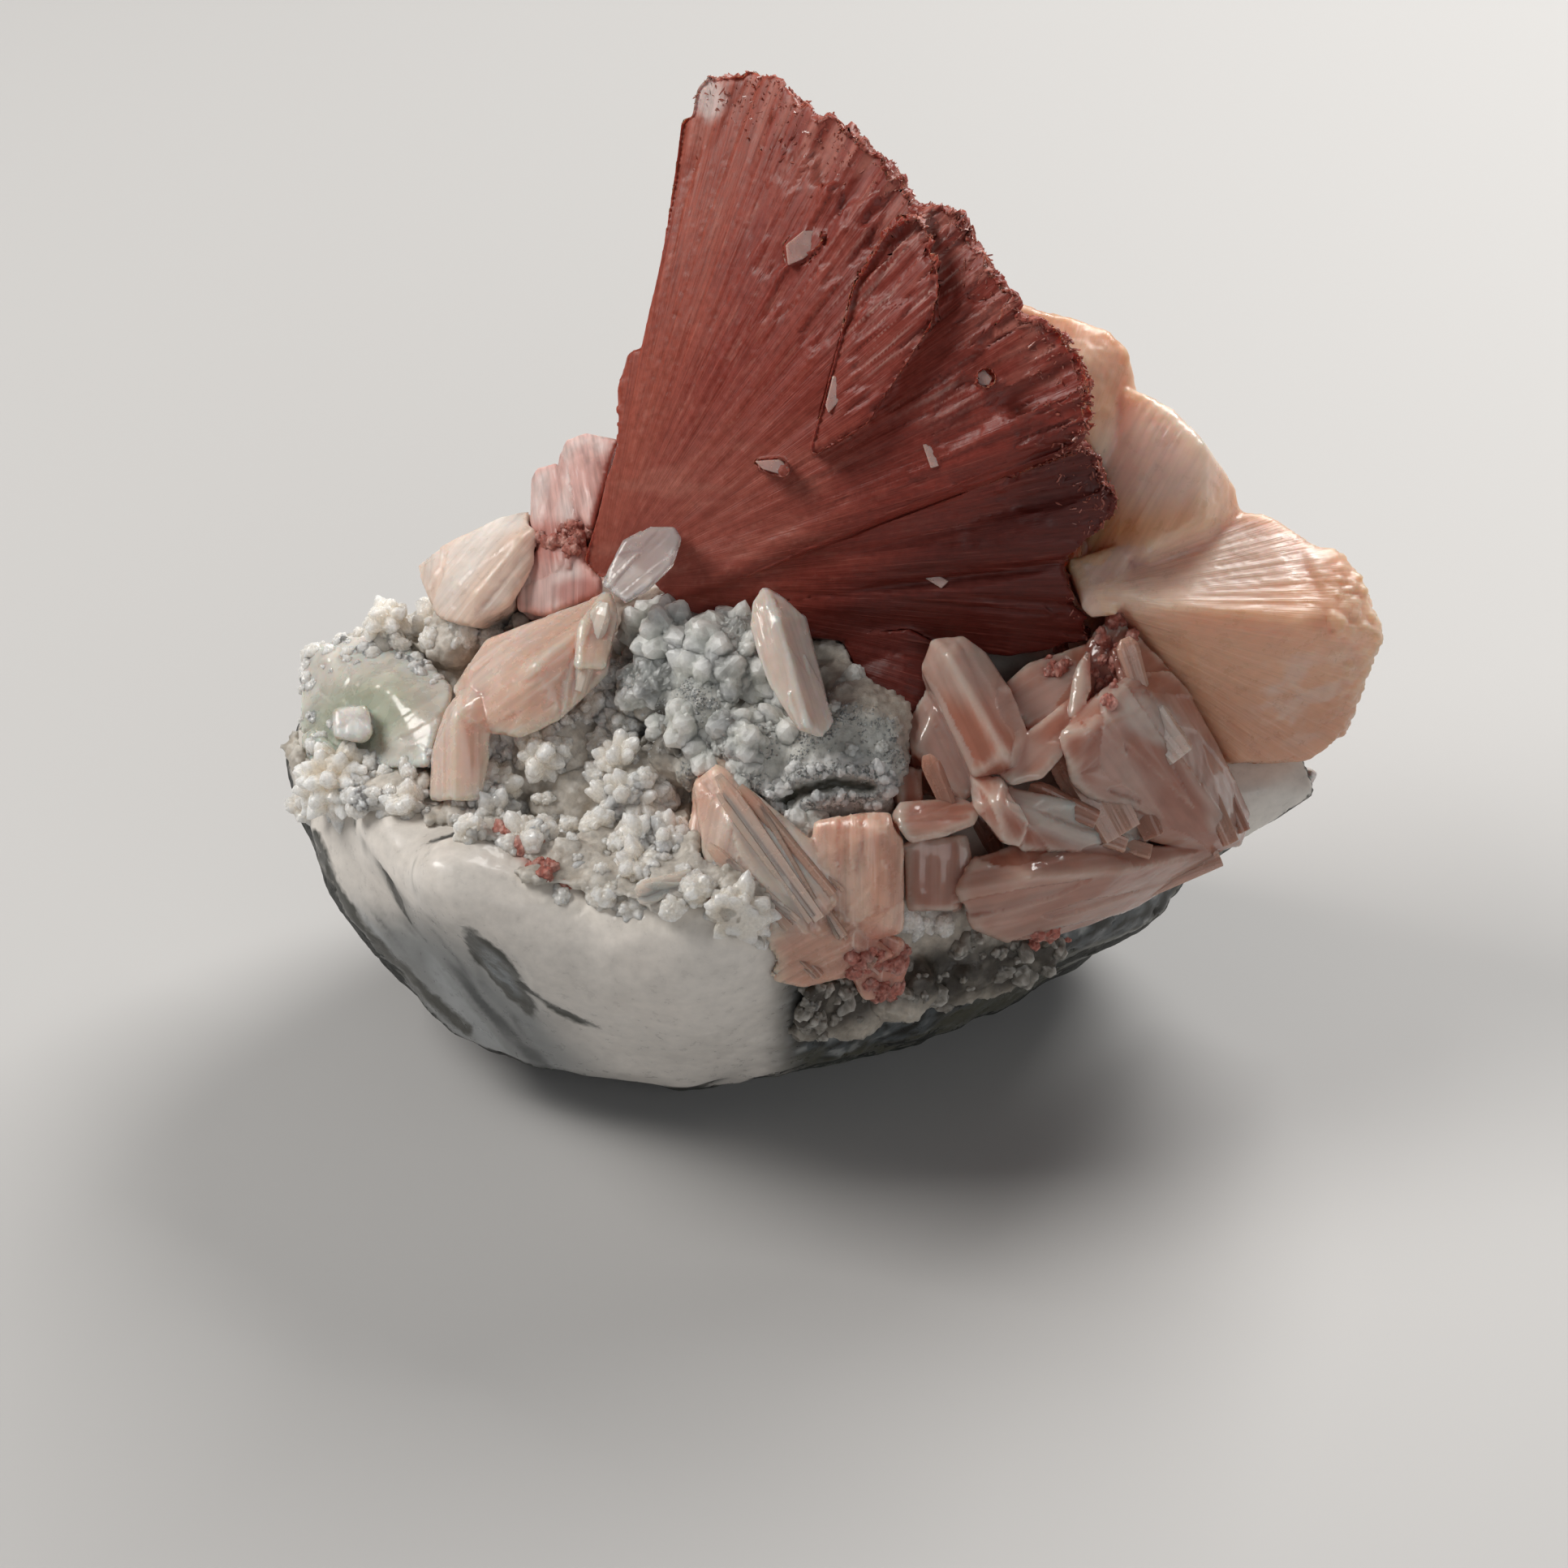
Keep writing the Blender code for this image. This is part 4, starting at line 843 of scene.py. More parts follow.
LILAC_PRISM, LILAC_PANEL, LARGE_BLADE, LENS, WEDGE = 1, 4, 8, 9, 10
PINK_STAINS = [((0.78, 0.62, 0.54), (1180, 815), (50, 45), 0, 1.0, 0.6),
               ((0.93, 0.78, 0.70), (1415, 885), (40, 24), 38, 0.6, 0.8),
               ((0.97, 0.83, 0.75), (1320, 1008), (84, 28), 18, 0.7, 0.85),
               ((0.50, 0.14, 0.10), (1362, 812), (26, 34), 0, 0.8, 0.8)]


def build_pink():
    form = Form("pink_stilbite_blades", "pink_blades", 0.21, rounds=1)
    right, down, _ = on_drawing(form.points)
    flow, owner = along_axes(form.points, PINK_AXES)
    form.push(0.10 * layered_noise(form.points * 0.22, 2, 61))
    grooved(form, flow, 0.05, 2.2, along=0.05, seed=62)
    plates = (owner == LARGE_BLADE) + 0.7 * (owner == LENS) + 0.7 * (owner == WEDGE) + 0.3
    _, _, own = cell_noise(flow * (0.55, 0.012, 0.12), 63)
    form.push(0.36 * (own - 0.5) * plates)
    tint = Tint((0.64, 0.275, 0.19), right, down)
    pale_bands = layered_noise(flow * (0.3, 0.08, 0.25), 2, 64)
    tint.mix((0.90, 0.65, 0.56), fade(pale_bands, -0.15, 0.45) * 0.65)
    tint.mix((0.50, 0.20, 0.14), fade(layered_noise(form.points * 0.25, 2, 65), 0.0, 0.5) * 0.5)
    tint.mix((0.70, 0.49, 0.43), ((owner == LILAC_PRISM) + 0.7 * (owner == LILAC_PANEL)) * 0.7)
    # Painted highlight on the outward edges
    tint.mix((0.95, 0.76, 0.66), form.edge_share() * 0.7)
    # Painted shade in the hollows between blades
    tint.mix((0.32, 0.12, 0.08), fade(form.hollowness(14), 0.05, 0.5) * 0.6)
    tint.colour_ellipses(PINK_STAINS)
    tint.mix((0.74, 0.43, 0.33), (owner == LENS) * 0.4)
    paint = mineral("pink_stilbite", streak=(1.0, 0.03, 0.3), streak_contrast=0.10, speck=500.0,
                    speck_contrast=0.05, roughness=(0.12, 0.26), bump=0.15, subsurface=0.8,
                    radius=(1.0, 0.55, 0.45), depth=3.0, transmission=0.35, coat=0.5,
                    pale=(0.2, (0.88, 0.76, 0.70, 1)))
    form.finish(tint.values, flow, paint)
    return form


def small_group(name, node, paint, slot, axes, colour, second, seed, stains=(), voxel=0.22, rounds=2,
                facets=0.0, **looks):
    """One of the smaller crystal groups, grooved along its axes."""
    form = Form(name, node, voxel, rounds)
    flow, _ = along_axes(form.points, axes)
    form.push(0.09 * layered_noise(form.points * 0.25, 2, seed))
    layered_blades(form, flow, 0.16, 0.8, 0.02, seed + 4)
    grooved(form, flow, 0.05, 2.2, along=0.05, seed=seed + 1)
    right, down, _ = on_drawing(form.points)
    tint = Tint(colour, right, down)
    tint.mix(second, fade(layered_noise(flow * (0.4, 0.06, 0.3), 2, seed + 2), -0.2, 0.5) * 0.8)
    # Painted highlight on the outward edges
    tint.mix(np.minimum(np.array(second) * 1.12, 0.95), form.edge_share() * 0.6)
    # Painted shade in the hollows
    tint.mix(np.array(colour) * 0.45, fade(form.hollowness(14), 0.08, 0.5) * 0.6)
    tint.colour_ellipses(stains)
    if facets:
        layered_blades(form, form.points, facets, 0.3, 0.3, seed + 2)
    form.finish(tint.values, flow, mineral(paint, **looks))
    return form


# Crust and rock

DRUSE_PLACES = [((700, 930), (150, 95), 0), ((720, 1000), (120, 60), 0), ((730, 845), (60, 40), 0),
                ((1150, 1095), (45, 50), 0), ((640, 770), (70, 40), 0), ((470, 975), (90, 30), 0),
                ((780, 1060), (110, 45), 20), ((600, 1000), (50, 40), 0), ((520, 775), (80, 35), -15),
                ((590, 760), (60, 40), 0), ((835, 1105), (100, 45), 12)]
# Hollows in the crust that are filled with painted shade, dark and speckled
DARK_HOLLOWS = [((1000, 1228), (110, 45), -10), ((1215, 1190), (130, 34), -12), ((822, 900), (26, 34), 0),
                ((625, 738), (26, 26), 0), ((912, 850), (20, 20), 0)]
CHALCEDONY_PLACES = [((862, 812), (85, 85), 0), ((980, 945), (140, 90), 8), ((905, 900), (70, 70), 0)]
TUBE_LINE = [(966, 990), (985, 974), (1030, 964), (1072, 970)]


def build_crust():
    form = Form("quartz_and_chalcedony_crust", "quartz_crust", 0.3, rounds=2, grow=0.1)
    right, down, _ = on_drawing(form.points)
    ragged = 0.25 * layered_noise(form.points * 0.35, 2, 81)
    druse = np.zeros(len(form.points))
    waxy = np.zeros(len(form.points))
    for place, size, turn in DRUSE_PLACES:
        druse = np.maximum(druse, spot(right, down, place, size, turn, 0.4, ragged))
    for place, size, turn in CHALCEDONY_PLACES:
        waxy = np.maximum(waxy, spot(right, down, place, size, turn, 0.4, ragged))
    druse = np.clip(druse - waxy * 0.7, 0, 1)
    lumps, _, _ = cell_noise(form.points * 0.36, 82)
    small, _, _ = cell_noise(form.points * 1.25, 84)
    form.push((0.62 - lumps) * 1.5 * (0.5 + 0.5 * druse))
    ridge = fade(form.hollowness(30), 0.3, -0.5)
    tiny, _, _ = cell_noise(form.points * 2.1, 85)
    form.push((0.5 - small) * (0.15 + 0.3 * ridge) + (0.5 - tiny) * 0.22)
    gap, _ = from_line(right, down, TUBE_LINE)
    mouth = fade(gap, 10, 4)
    lip = fade(gap, 34, 20) * fade(gap, 8, 14)
    form.points = form.points + ALONG * (mouth * 0.8 - lip * 0.5)[:, None]
    hollow = form.hollowness(10)
    tint = Tint((0.68, 0.61, 0.52), right, down)
    tint.mix((0.88, 0.81, 0.72), druse * 0.9)
    tint.mix((0.80, 0.80, 0.75), waxy * 0.9)
    tint.mix((0.42, 0.455, 0.43), waxy * fade(layered_noise(form.points * 0.3, 2, 86), 0.0, 0.5) * 0.6)
    # Painted highlight on raised parts
    tint.mix((0.86, 0.82, 0.75), fade(hollow, -0.05, -0.45) * 0.6)
    # Painted shade in hollows
    tint.mix((0.22, 0.18, 0.13), fade(hollow, 0.2, 0.9) * 0.6)
    # Painted shade in the crust's deep hollows
    cavity = np.zeros(len(form.points))
    speckle = fade(layered_noise(form.points * 0.7, 2, 87), 0.1, 0.5)
    speckled_shade = blend((0.05, 0.04, 0.028), (0.20, 0.18, 0.15), speckle)
    for place, size, turn in DARK_HOLLOWS:
        dark = spot(right, down, place, size, turn, 0.7, ragged)
        tint.mix(speckled_shade, dark * 0.95)
        cavity = np.maximum(cavity, dark)
    tint.mix((0.96, 0.96, 0.93), fade(gap, 42, 28) * fade(gap, 8, 14) * 0.9)
    # Painted shade in the tube's open mouth
    tint.mix((0.06, 0.055, 0.035), fade(gap, 8, 4) * 0.95)
    paint = mineral("quartz_crust", streak=(0.8, 0.8, 0.8), streak_contrast=0.10, speck=1400.0,
                    speck_contrast=0.18, roughness=(0.3, 0.6), bump=0.5, grit=1.5, subsurface=0.5,
                    radius=(1.0, 0.9, 0.8), depth=2.0, transmission=0.15)
    form.finish(tint.values, form.points, paint)
    return form, druse, waxy, cavity, gap


LIP_EDGE = [(380, 1004), (470, 1004), (545, 1008), (600, 1052), (672, 1122), (740, 1140), (830, 1150),
            (906, 1138), (940, 1185)]
CRACK_PLACE = (615, 1200)
CRACK_TAIL = [(640, 1215), (690, 1246), (740, 1268), (792, 1292)]
CRACK_TURN = math.radians(50)
CRACK_HALF_SIZE = (72, 16)
LEFT_RIM = [(388, 1030), (408, 1085), (440, 1135), (480, 1180), (522, 1222), (575, 1270)]


def crack_lens(right, down):
    """Reach in the drawn lens of the crack: 0 in its middle, 1 at its border."""
    x, y = right - CRACK_PLACE[0], down - CRACK_PLACE[1]
    return np.hypot((x * math.cos(CRACK_TURN) + y * math.sin(CRACK_TURN)) / CRACK_HALF_SIZE[0],
                    (y * math.cos(CRACK_TURN) - x * math.sin(CRACK_TURN)) / CRACK_HALF_SIZE[1])


def draw_crack(paint):
    """Colour the crack by its stored reach: a dark border, grey-blue specks inside."""
    under = paint.shader.inputs["Base Color"].links[0].from_socket
    wander = paint.noise(paint.place(), 700.0, 5.0)
    moved = paint.scaled_sum(wander, 0.3, paint.attribute("crack", "Fac"))
    specks = paint.ramp(wander, [(0.42, 0.0), (0.6, 1.0)])
    filling = paint.mix(specks, (0.06, 0.065, 0.06, 1), (0.24, 0.27, 0.29, 1))
    border = paint.ramp(moved, [(0.58, 1.0), (0.68, 0.0)])
    edged = paint.mix(border, under, (0.035, 0.035, 0.025, 1))
    inside = paint.ramp(moved, [(0.34, 0.8), (0.50, 0.0)])
    paint.put(paint.shader, "Base Color", paint.mix(inside, edged, filling))


def basalt_colours(form, right, down, coarse, wander):
    """Dark rock with green and light specks, greyer near its top."""
    basalt = Tint((0.075, 0.078, 0.072), right, down)
    basalt.mix((0.13, 0.135, 0.12), fade(coarse, 0.1, 0.5) * 0.8)
    basalt.mix((0.10, 0.13, 0.10), fade(layered_noise(form.points * 0.08, 3, 96), 0.1, 0.5) * 0.6)
    basalt.mix((0.42, 0.42, 0.38), fade(layered_noise(form.points * 0.9, 2, 97), 0.5, 0.65) * 0.7)
    basalt.mix((0.30, 0.295, 0.275), fade(form.points[:, 2] + 3 * wander, 27, 36) * 0.8)
    return basalt.values


def pale_colours(form, right, down, near, wander, above):
    """Cream rock, with a veined dark grey place at the lower left."""
    pale = Tint((0.84, 0.79, 0.73), right, down)
    pale.mix((0.88, 0.81, 0.74), fade(layered_noise(form.points * 0.1, 3, 98), -0.1, 0.5) * 0.6)
    lower_left = spot(right, down, (565, 1245), (195, 72), turn=34, soft=0.8, ragged=0.2 * wander)
    run, across = right * 0.64 + down * 0.77, right * 0.77 - down * 0.64
    veins = layered_noise(np.stack([run * 0.006, across * 0.045, near * 0.1], axis=1), 4, 99)
    pale.mix((0.19, 0.21, 0.22), lower_left * 0.85)
    pale.mix((0.05, 0.055, 0.055), lower_left * fade(veins, 0.05, 0.35) * 0.85)
    pale.mix((0.46, 0.48, 0.49), lower_left * fade(veins, -0.15, -0.45) * 0.7)
    pale.mix((0.82, 0.77, 0.70), above * 0.7)
    return pale.values


def build_rock():
    form = Form("rock_with_pale_lip", "rock_matrix", 0.42, rounds=8)
    right, down, near = on_drawing(form.points)
    facing = -(form.normals() @ ALONG)
    wander = layered_noise(form.points * 0.12, 3, 91)
    shown = fade(facing + 0.08 * wander - 0.16 * fade(right, 580, 440), 0.13, 0.26)
    rim = fade(right, 930, 1010) * fade(down + 0.35 * np.clip(right - 1000, 0, 400), 1100, 1180)
    rim *= fade(right, 1530, 1490)
    lip = shown * (1 - rim)
    edge_gap, edge_side = from_line(right, down, LIP_EDGE)
    above = fade(edge_gap * edge_side, -10, 14) * fade(right, 960, 920)
    coarse = layered_noise(form.points * 0.35, 4, 92)
    pits, _, _ = cell_noise(form.points * 0.6, 93)
    form.push((1 - lip) * (0.45 * coarse - 0.35 * fade(pits, 0.28, 0.1)) + lip * 0.25 * wander)
    sugar, _, _ = cell_noise(form.points * 1.1, 94)
    form.push(shown * above * 0.35 * (0.5 - sugar))
    tail_gap, _ = from_line(right, down, CRACK_TAIL)
    wobble = 4 * layered_noise(form.points * 0.5, 3, 95)
    uneven = 0.45 * layered_noise(form.points * 0.45, 3, 104)
    lens = spot(right, down, CRACK_PLACE, (56, 11), 50, 0.5, uneven) * lip
    lens_rim = spot(right, down, CRACK_PLACE, (76, 24), 50, 0.3, uneven) * lip * (1 - lens)
    tail = fade(tail_gap + wobble * 1.4, 4, 1.5) * lip * fade(right, 800, 700)
    form.push(-0.25 * lens_rim - 0.15 * tail - 0.2 * lens)
    flat = form.rest[:, 2] < 0.3
    form.points[flat, 2] = np.minimum(form.points[flat, 2], form.rest[flat, 2])
    form.points[:, 2] = np.maximum(form.points[:, 2], 0.0)
    tint = Tint(basalt_colours(form, right, down, coarse, wander), right, down)
    tint.mix(pale_colours(form, right, down, near, wander, above), lip)
    speckle = layered_noise(form.points * 1.1, 2, 101)
    grey_rim = blend((0.11, 0.122, 0.127), (0.025, 0.025, 0.02), fade(speckle, -0.05, 0.25))
    grey_rim = blend(grey_rim, (0.42, 0.43, 0.42), fade(speckle, -0.25, -0.5) * 0.8)
    grey_rim = blend(grey_rim, (0.11, 0.105, 0.07), fade(facing, 0.45, 0.3) * 0.8)
    tint.mix(grey_rim, rim * shown)
    red_stain = spot(right, down, (660, 1045), (48, 22), turn=40, soft=0.7)
    tint.mix((0.44, 0.10, 0.07), red_stain * above * shown * 0.8)
    paint = mineral("pale_rock", streak=(0.5, 0.5, 0.5), streak_contrast=0.04, speck=900.0,
                    speck_contrast=0.08, roughness=(0.26, 0.45), bump=0.25, grit=0.5, subsurface=0.12,
                    radius=(1.0, 0.92, 0.85), depth=0.8, coat=0.2)
    draw_crack(paint)
    left_gap, _ = from_line(right, down, LEFT_RIM)
    tail_reach = 0.7 + (tail_gap + fade(right, 700, 800) * 9) / 14
    line_reach = np.minimum(tail_reach, 0.75 + left_gap / 30)
    crack = np.minimum(crack_lens(right + wobble, down - wobble), line_reach)
    form.finish(tint.values, form.points, paint)
    dark_paint = mineral("basalt", streak=(1.5, 1.5, 1.5), streak_contrast=0.3, speck=1300.0,
                         speck_contrast=0.4, roughness=(0.5, 0.75), bump=0.8, grit=1.5, subsurface=0.0,
                         specular=0.35)
    form.mesh.materials.append(dark_paint.material)
    corners = np.empty(len(form.mesh.loops), dtype=np.int64)
    form.mesh.loops.foreach_get("vertex_index", corners)
    starts = np.empty(len(form.mesh.polygons), dtype=np.int64)
    form.mesh.polygons.foreach_get("loop_start", starts)
    dark_faces = np.maximum(lip, rim * shown)[corners[starts]] < 0.4
    form.mesh.polygons.foreach_set("material_index", dark_faces.astype(np.int32))
    marks = form.mesh.attributes.new("crack", "FLOAT", "POINT")
    marks.data.foreach_set("value", np.minimum(crack, 2.0) * 0.5)
    return form, shown * above


fan_form, fan_edge = build_fan()
peach_form = build_peach()
pink_form = build_pink()
centre_form = small_group(
    "centre_peach_sheaf", "centre_sheaf", "centre_stilbite", "peach_stilbite",
    [(1055, 1150, 1055, 1010), (1010, 1140, 880, 960), (950, 1200, 1060, 1140), (1080, 1220, 1085, 1160),
     (880, 1040, 900, 930)],
    (0.68, 0.38, 0.28), (0.80, 0.57, 0.46), seed=110,
    stains=[((0.58, 0.22, 0.16), (1085, 1190), (46, 44), 0, 0.8, 0.8),
            ((0.84, 0.76, 0.68), (930, 1060), (70, 90), -30, 0.9, 0.6)],
    streak=(1.8, 0.05, 0.3), roughness=(0.2, 0.36), streak_contrast=0.12, subsurface=0.8, depth=2.5,
    coat=0.25, pale=(0.35, (0.92, 0.84, 0.78, 1)))
left_form = small_group(
    "left_peach_sheaf", "left_sheaf", "left_stilbite", "peach_stilbite",
    [(570, 880, 745, 745), (565, 984, 565, 860), (730, 820, 745, 735)],
    (0.90, 0.62, 0.49), (0.94, 0.76, 0.67), seed=120,
    streak=(1.6, 0.05, 0.3), roughness=(0.16, 0.32), streak_contrast=0.08, subsurface=0.9, depth=3.0,
    transmission=0.15, coat=0.3, pale=(0.4, (0.95, 0.90, 0.86, 1)))
white_form = small_group(
    "white_sheaf_upper_left", "white_sheaf", "white_stilbite", "white_stilbite",
    [(560, 750, 650, 640), (505, 765, 510, 710)], (0.86, 0.78, 0.72), (0.86, 0.64, 0.52), seed=130,
    streak=(2.0, 0.05, 0.3), roughness=(0.25, 0.45), streak_contrast=0.12, subsurface=0.35, depth=2.0,
    pale=(0.5, (0.97, 0.95, 0.93, 1)))
cluster_form = small_group(
    "pink_white_cluster", "back_left_cluster", "cluster_stilbite", "white_stilbite",
    [(740, 650, 720, 545), (690, 690, 675, 585), (700, 750, 700, 680)],
    (0.84, 0.66, 0.62), (0.74, 0.38, 0.33), seed=140,
    stains=[((0.52, 0.16, 0.12), (690, 668), (50, 26), 0, 0.8, 0.8),
            ((0.48, 0.14, 0.11), (712, 730), (30, 18), 0, 0.8, 0.7)],
    streak=(2.2, 0.06, 0.4), roughness=(0.35, 0.6), streak_contrast=0.2, subsurface=0.3, depth=1.5,
    pale=(0.5, (0.95, 0.88, 0.86, 1)))
block_form = small_group(
    "green_white_block", "left_block", "block_heulandite", "green_heulandite",
    [(400, 900, 520, 830), (430, 910, 432, 875), (370, 960, 450, 950)],
    (0.82, 0.76, 0.68), (0.88, 0.83, 0.77), seed=150,
    stains=[((0.42, 0.46, 0.33), (445, 880), (70, 44), -20, 1.0, 0.75),
            ((0.90, 0.90, 0.88), (434, 892), (26, 22), 0, 0.3, 0.9)],
    streak=(0.8, 0.2, 0.4), roughness=(0.18, 0.4), streak_contrast=0.12, subsurface=0.7, depth=2.5,
    transmission=0.1, coat=0.3)
small_group(
    "standing_pale_prism", "standing_prism", "prism_stilbite", "pink_stilbite", [(990, 895, 945, 740)],
    (0.90, 0.75, 0.66), (0.94, 0.87, 0.81), seed=160, voxel=0.16, rounds=1,
    streak=(2.2, 0.05, 0.4), roughness=(0.12, 0.28), streak_contrast=0.06, subsurface=0.8, depth=2.0,
    transmission=0.2, coat=0.3)
small_group(
    "matt_white_crystal", "white_side_crystal", "side_stilbite", "white_stilbite", [(1560, 990, 1600, 950)],
    (0.80, 0.69, 0.67), (0.90, 0.83, 0.81), seed=170, voxel=0.18, facets=0.14,
    streak=(1.6, 0.3, 0.6), roughness=(0.35, 0.6), speck=1500.0, speck_contrast=0.15, grit=1.0,
    streak_contrast=0.1, subsurface=0.2, depth=1.0)
small_group(
    "clear_heulandite_plate", "heulandite_plate", "clear_heulandite", "clear_heulandite",
    [(760, 730, 830, 660)], (0.90, 0.80, 0.77), (0.93, 0.86, 0.84), seed=180, voxel=0.14, rounds=1,
    streak=(1.2, 0.2, 0.4), streak_contrast=0.06, speck_contrast=0.05, roughness=(0.12, 0.3), bump=0.2,
    subsurface=0.3, depth=1.0, transmission=0.6)
crust_form, druse, waxy, cavity, tube_gap = build_crust()
rock_form, sugar_band = build_rock()

# Grains; each knob's three colours are painted shade at its foot, its top colour, and a painted highlight on
# raised grains
sugar = mineral("druse_grains", streak=(4.0, 4.0, 4.0), streak_contrast=0.08, speck=3000.0,
                speck_contrast=0.06, roughness=(0.15, 0.4), bump=0.2, subsurface=0.85,
                radius=(1.0, 0.92, 0.84), depth=2.2, ior=1.54)
front_crust = fade(-(crust_form.normals() @ ALONG), -0.2, 0.3)
# Druse knob colours: painted shade at the foot, the top, and a painted highlight on raised grains
SUGAR_TONES = (0.80, 0.73, 0.63), (0.94, 0.88, 0.80), (0.99, 0.98, 0.95)
open_crust = druse * (1 - 0.9 * waxy) * front_crust
knobs("druse_clumps", crust_form, open_crust, 26, (1.7, 2.8), sugar, "quartz", 201, *SUGAR_TONES,
      grain=0.42, rough=0.3, lobes=0.62, lobe_rate=0.75, spacing=0.34, sink=0.5, rounds=5)
knobs("druse_knobs", crust_form, open_crust, 150, (0.4, 1.4), sugar, "quartz", 205, *SUGAR_TONES,
      grain=0.42, rough=0.32, spacing=0.28, sink=0.25)
block_front = fade(-(block_form.normals() @ ALONG), -0.2, 0.3)
right, down, _ = on_drawing(block_form.points)
block_rim = block_front * fade(np.hypot((right - 470) / 78, (down - 875) / 62), 0.85, 1.25)
knobs("block_frost", block_form, block_rim, 90, (0.25, 0.8), sugar, "quartz", 208, *SUGAR_TONES,
      grain=0.4, rough=0.3, spacing=0.35, sink=0.35, rounds=3)
milky = mineral("chalcedony_knobs", streak=(1.0, 1.0, 1.0), streak_contrast=0.08, speck=1800.0,
                speck_contrast=0.12, roughness=(0.3, 0.5), bump=0.35, subsurface=0.7,
                radius=(1.0, 0.95, 0.9), depth=2.0)
# Dark knobs in the crust's hollows: their colours are painted shade
knobs("cavity_crumbs", crust_form, cavity * front_crust, 70, (0.3, 1.0), milky, "quartz", 207,
      (0.09, 0.08, 0.06), (0.26, 0.24, 0.21), (0.55, 0.53, 0.49), grain=0.4, rough=0.3, lobes=0.4,
      spacing=0.35, sink=0.3, rounds=3)
knobs("frosted_chalcedony", crust_form, waxy * front_crust * fade(tube_gap, 34, 50), 66, (0.5, 2.7), milky,
      "quartz", 204, (0.44, 0.455, 0.42), (0.70, 0.71, 0.665), (0.96, 0.96, 0.93), grain=0.42, rough=0.34,
      lobes=0.55, lobe_rate=0.55, spacing=0.16, sink=0.55)
knobs("tube_rim", crust_form, fade(tube_gap, 32, 24) * fade(tube_gap, 9, 14) * front_crust, 46, (0.3, 0.75),
      milky, "quartz", 211, (0.80, 0.80, 0.76), (0.95, 0.95, 0.92), (1.0, 1.0, 0.98), grain=0.35,
      rough=0.25, spacing=0.3, sink=0.4, rounds=3)
raised = fade(crust_form.hollowness(12), 0.05, -0.25)
grains("chalcedony_frost", crust_form, waxy * front_crust * raised * fade(tube_gap, 8, 14), 8000,
       (0.07, 0.18), "point", speckled_tint((0.80, 0.80, 0.76), 0.12), sugar, 206, tilt=0.3,
       squash=(1, 1, 0.7))
knobs("lip_knobs", rock_form, sugar_band, 75, (0.6, 1.8), sugar, "quartz", 202,
      *SUGAR_TONES, grain=0.42, rough=0.3, lobes=0.5, spacing=0.3, sink=0.35)

# Sparkling crystal ends along the fan's broken edge
ends = mineral("fan_edge_crystals", streak=(3.0, 3.0, 3.0), streak_contrast=0.1, speck=2000.0,
               speck_contrast=0.1, roughness=(0.15, 0.35), bump=0.05, subsurface=0.2, depth=0.8,
               transmission=0.15)
grains("fan_edge_points", fan_form, fan_edge, 3500, (0.2, 0.5), "blade",
       speckled_tint((0.52, 0.16, 0.12), 0.2), ends, 203, tilt=0.6,
       squash=(0.8, 0.5, 0.6))


# Small crystals between the large ones: foot, tip, width, forward lean, colour
PALE, ROSE, DEEP = (0.84, 0.67, 0.59), (0.66, 0.40, 0.31), (0.50, 0.26, 0.19)
CREAM, CORAL = (0.92, 0.78, 0.68), (0.84, 0.56, 0.45)
PINK_BLADES = [
    (1366, 1008, 1316, 914, 62, 0.8, ROSE), (1442, 912, 1402, 860, 38, 0.7, PALE),
    (1508, 1018, 1432, 846, 24, 0.9, ROSE), (1524, 1004, 1456, 856, 18, 0.5, DEEP),
    (1412, 1010, 1376, 934, 28, 0.6, DEEP), (1366, 1034, 1286, 1006, 20, 0.5, ROSE),
    (1396, 1044, 1306, 1020, 20, 0.5, ROSE), (1400, 832, 1386, 786, 24, 0.8, ROSE),
    (1482, 1064, 1340, 1122, 26, 0.3, ROSE), (1330, 1000, 1268, 972, 24, 0.5, DEEP),
    (1218, 1034, 1196, 1000, 22, 0.8, DEEP), (1166, 985, 1142, 930, 20, 0.8, DEEP)]
CENTRE_BLADES = [
    (1000, 1120, 884, 955, 17, 0.4, CORAL), (1016, 1090, 912, 968, 13, 0.4, ROSE),
    (962, 1132, 872, 1040, 15, 0.4, CORAL), (1030, 1142, 952, 1036, 14, 0.4, ROSE),
    (1000, 1192, 932, 1122, 13, 0.4, ROSE), (1064, 1180, 990, 1132, 14, 0.4, DEEP),
    (838, 1086, 784, 1102, 22, 1.2, CREAM)]
LEFT_BLADES = [(716, 836, 744, 742, 24, 0.3, CREAM)]
RED_PLACES = [((1085, 1195), (38, 34), 0), ((1130, 1196), (40, 16), 0), ((1290, 1158), (42, 11), -15),
              ((655, 1050), (58, 20), 40), ((888, 1124), (15, 26), 0), ((1364, 832), (16, 30), 0),
              ((1290, 812), (36, 18), -15), ((1384, 782), (30, 24), 0), ((700, 665), (36, 14), 10)]


def with_offshoots(wanted, number, seed):
    """Each wanted crystal with some slimmer ones beside it."""
    generator = np.random.default_rng(seed)
    more = list(wanted)
    for x0, y0, x1, y1, width, lift, colour in wanted:
        for _ in range(number):
            aside = generator.normal(0, width * 0.5, 4)
            share = generator.uniform(0.55, 0.95)
            slimmer = width * generator.uniform(0.3, 0.6)
            lower = lift * generator.uniform(0.5, 1.0)
            shaded = tuple(np.array(colour) * generator.uniform(0.9, 1.06))
            more.append((x0 + aside[0], y0 + aside[1], x0 + (x1 - x0) * share + aside[2],
                         y0 + (y1 - y0) * share + aside[3], slimmer, lower, shaded))
    return more


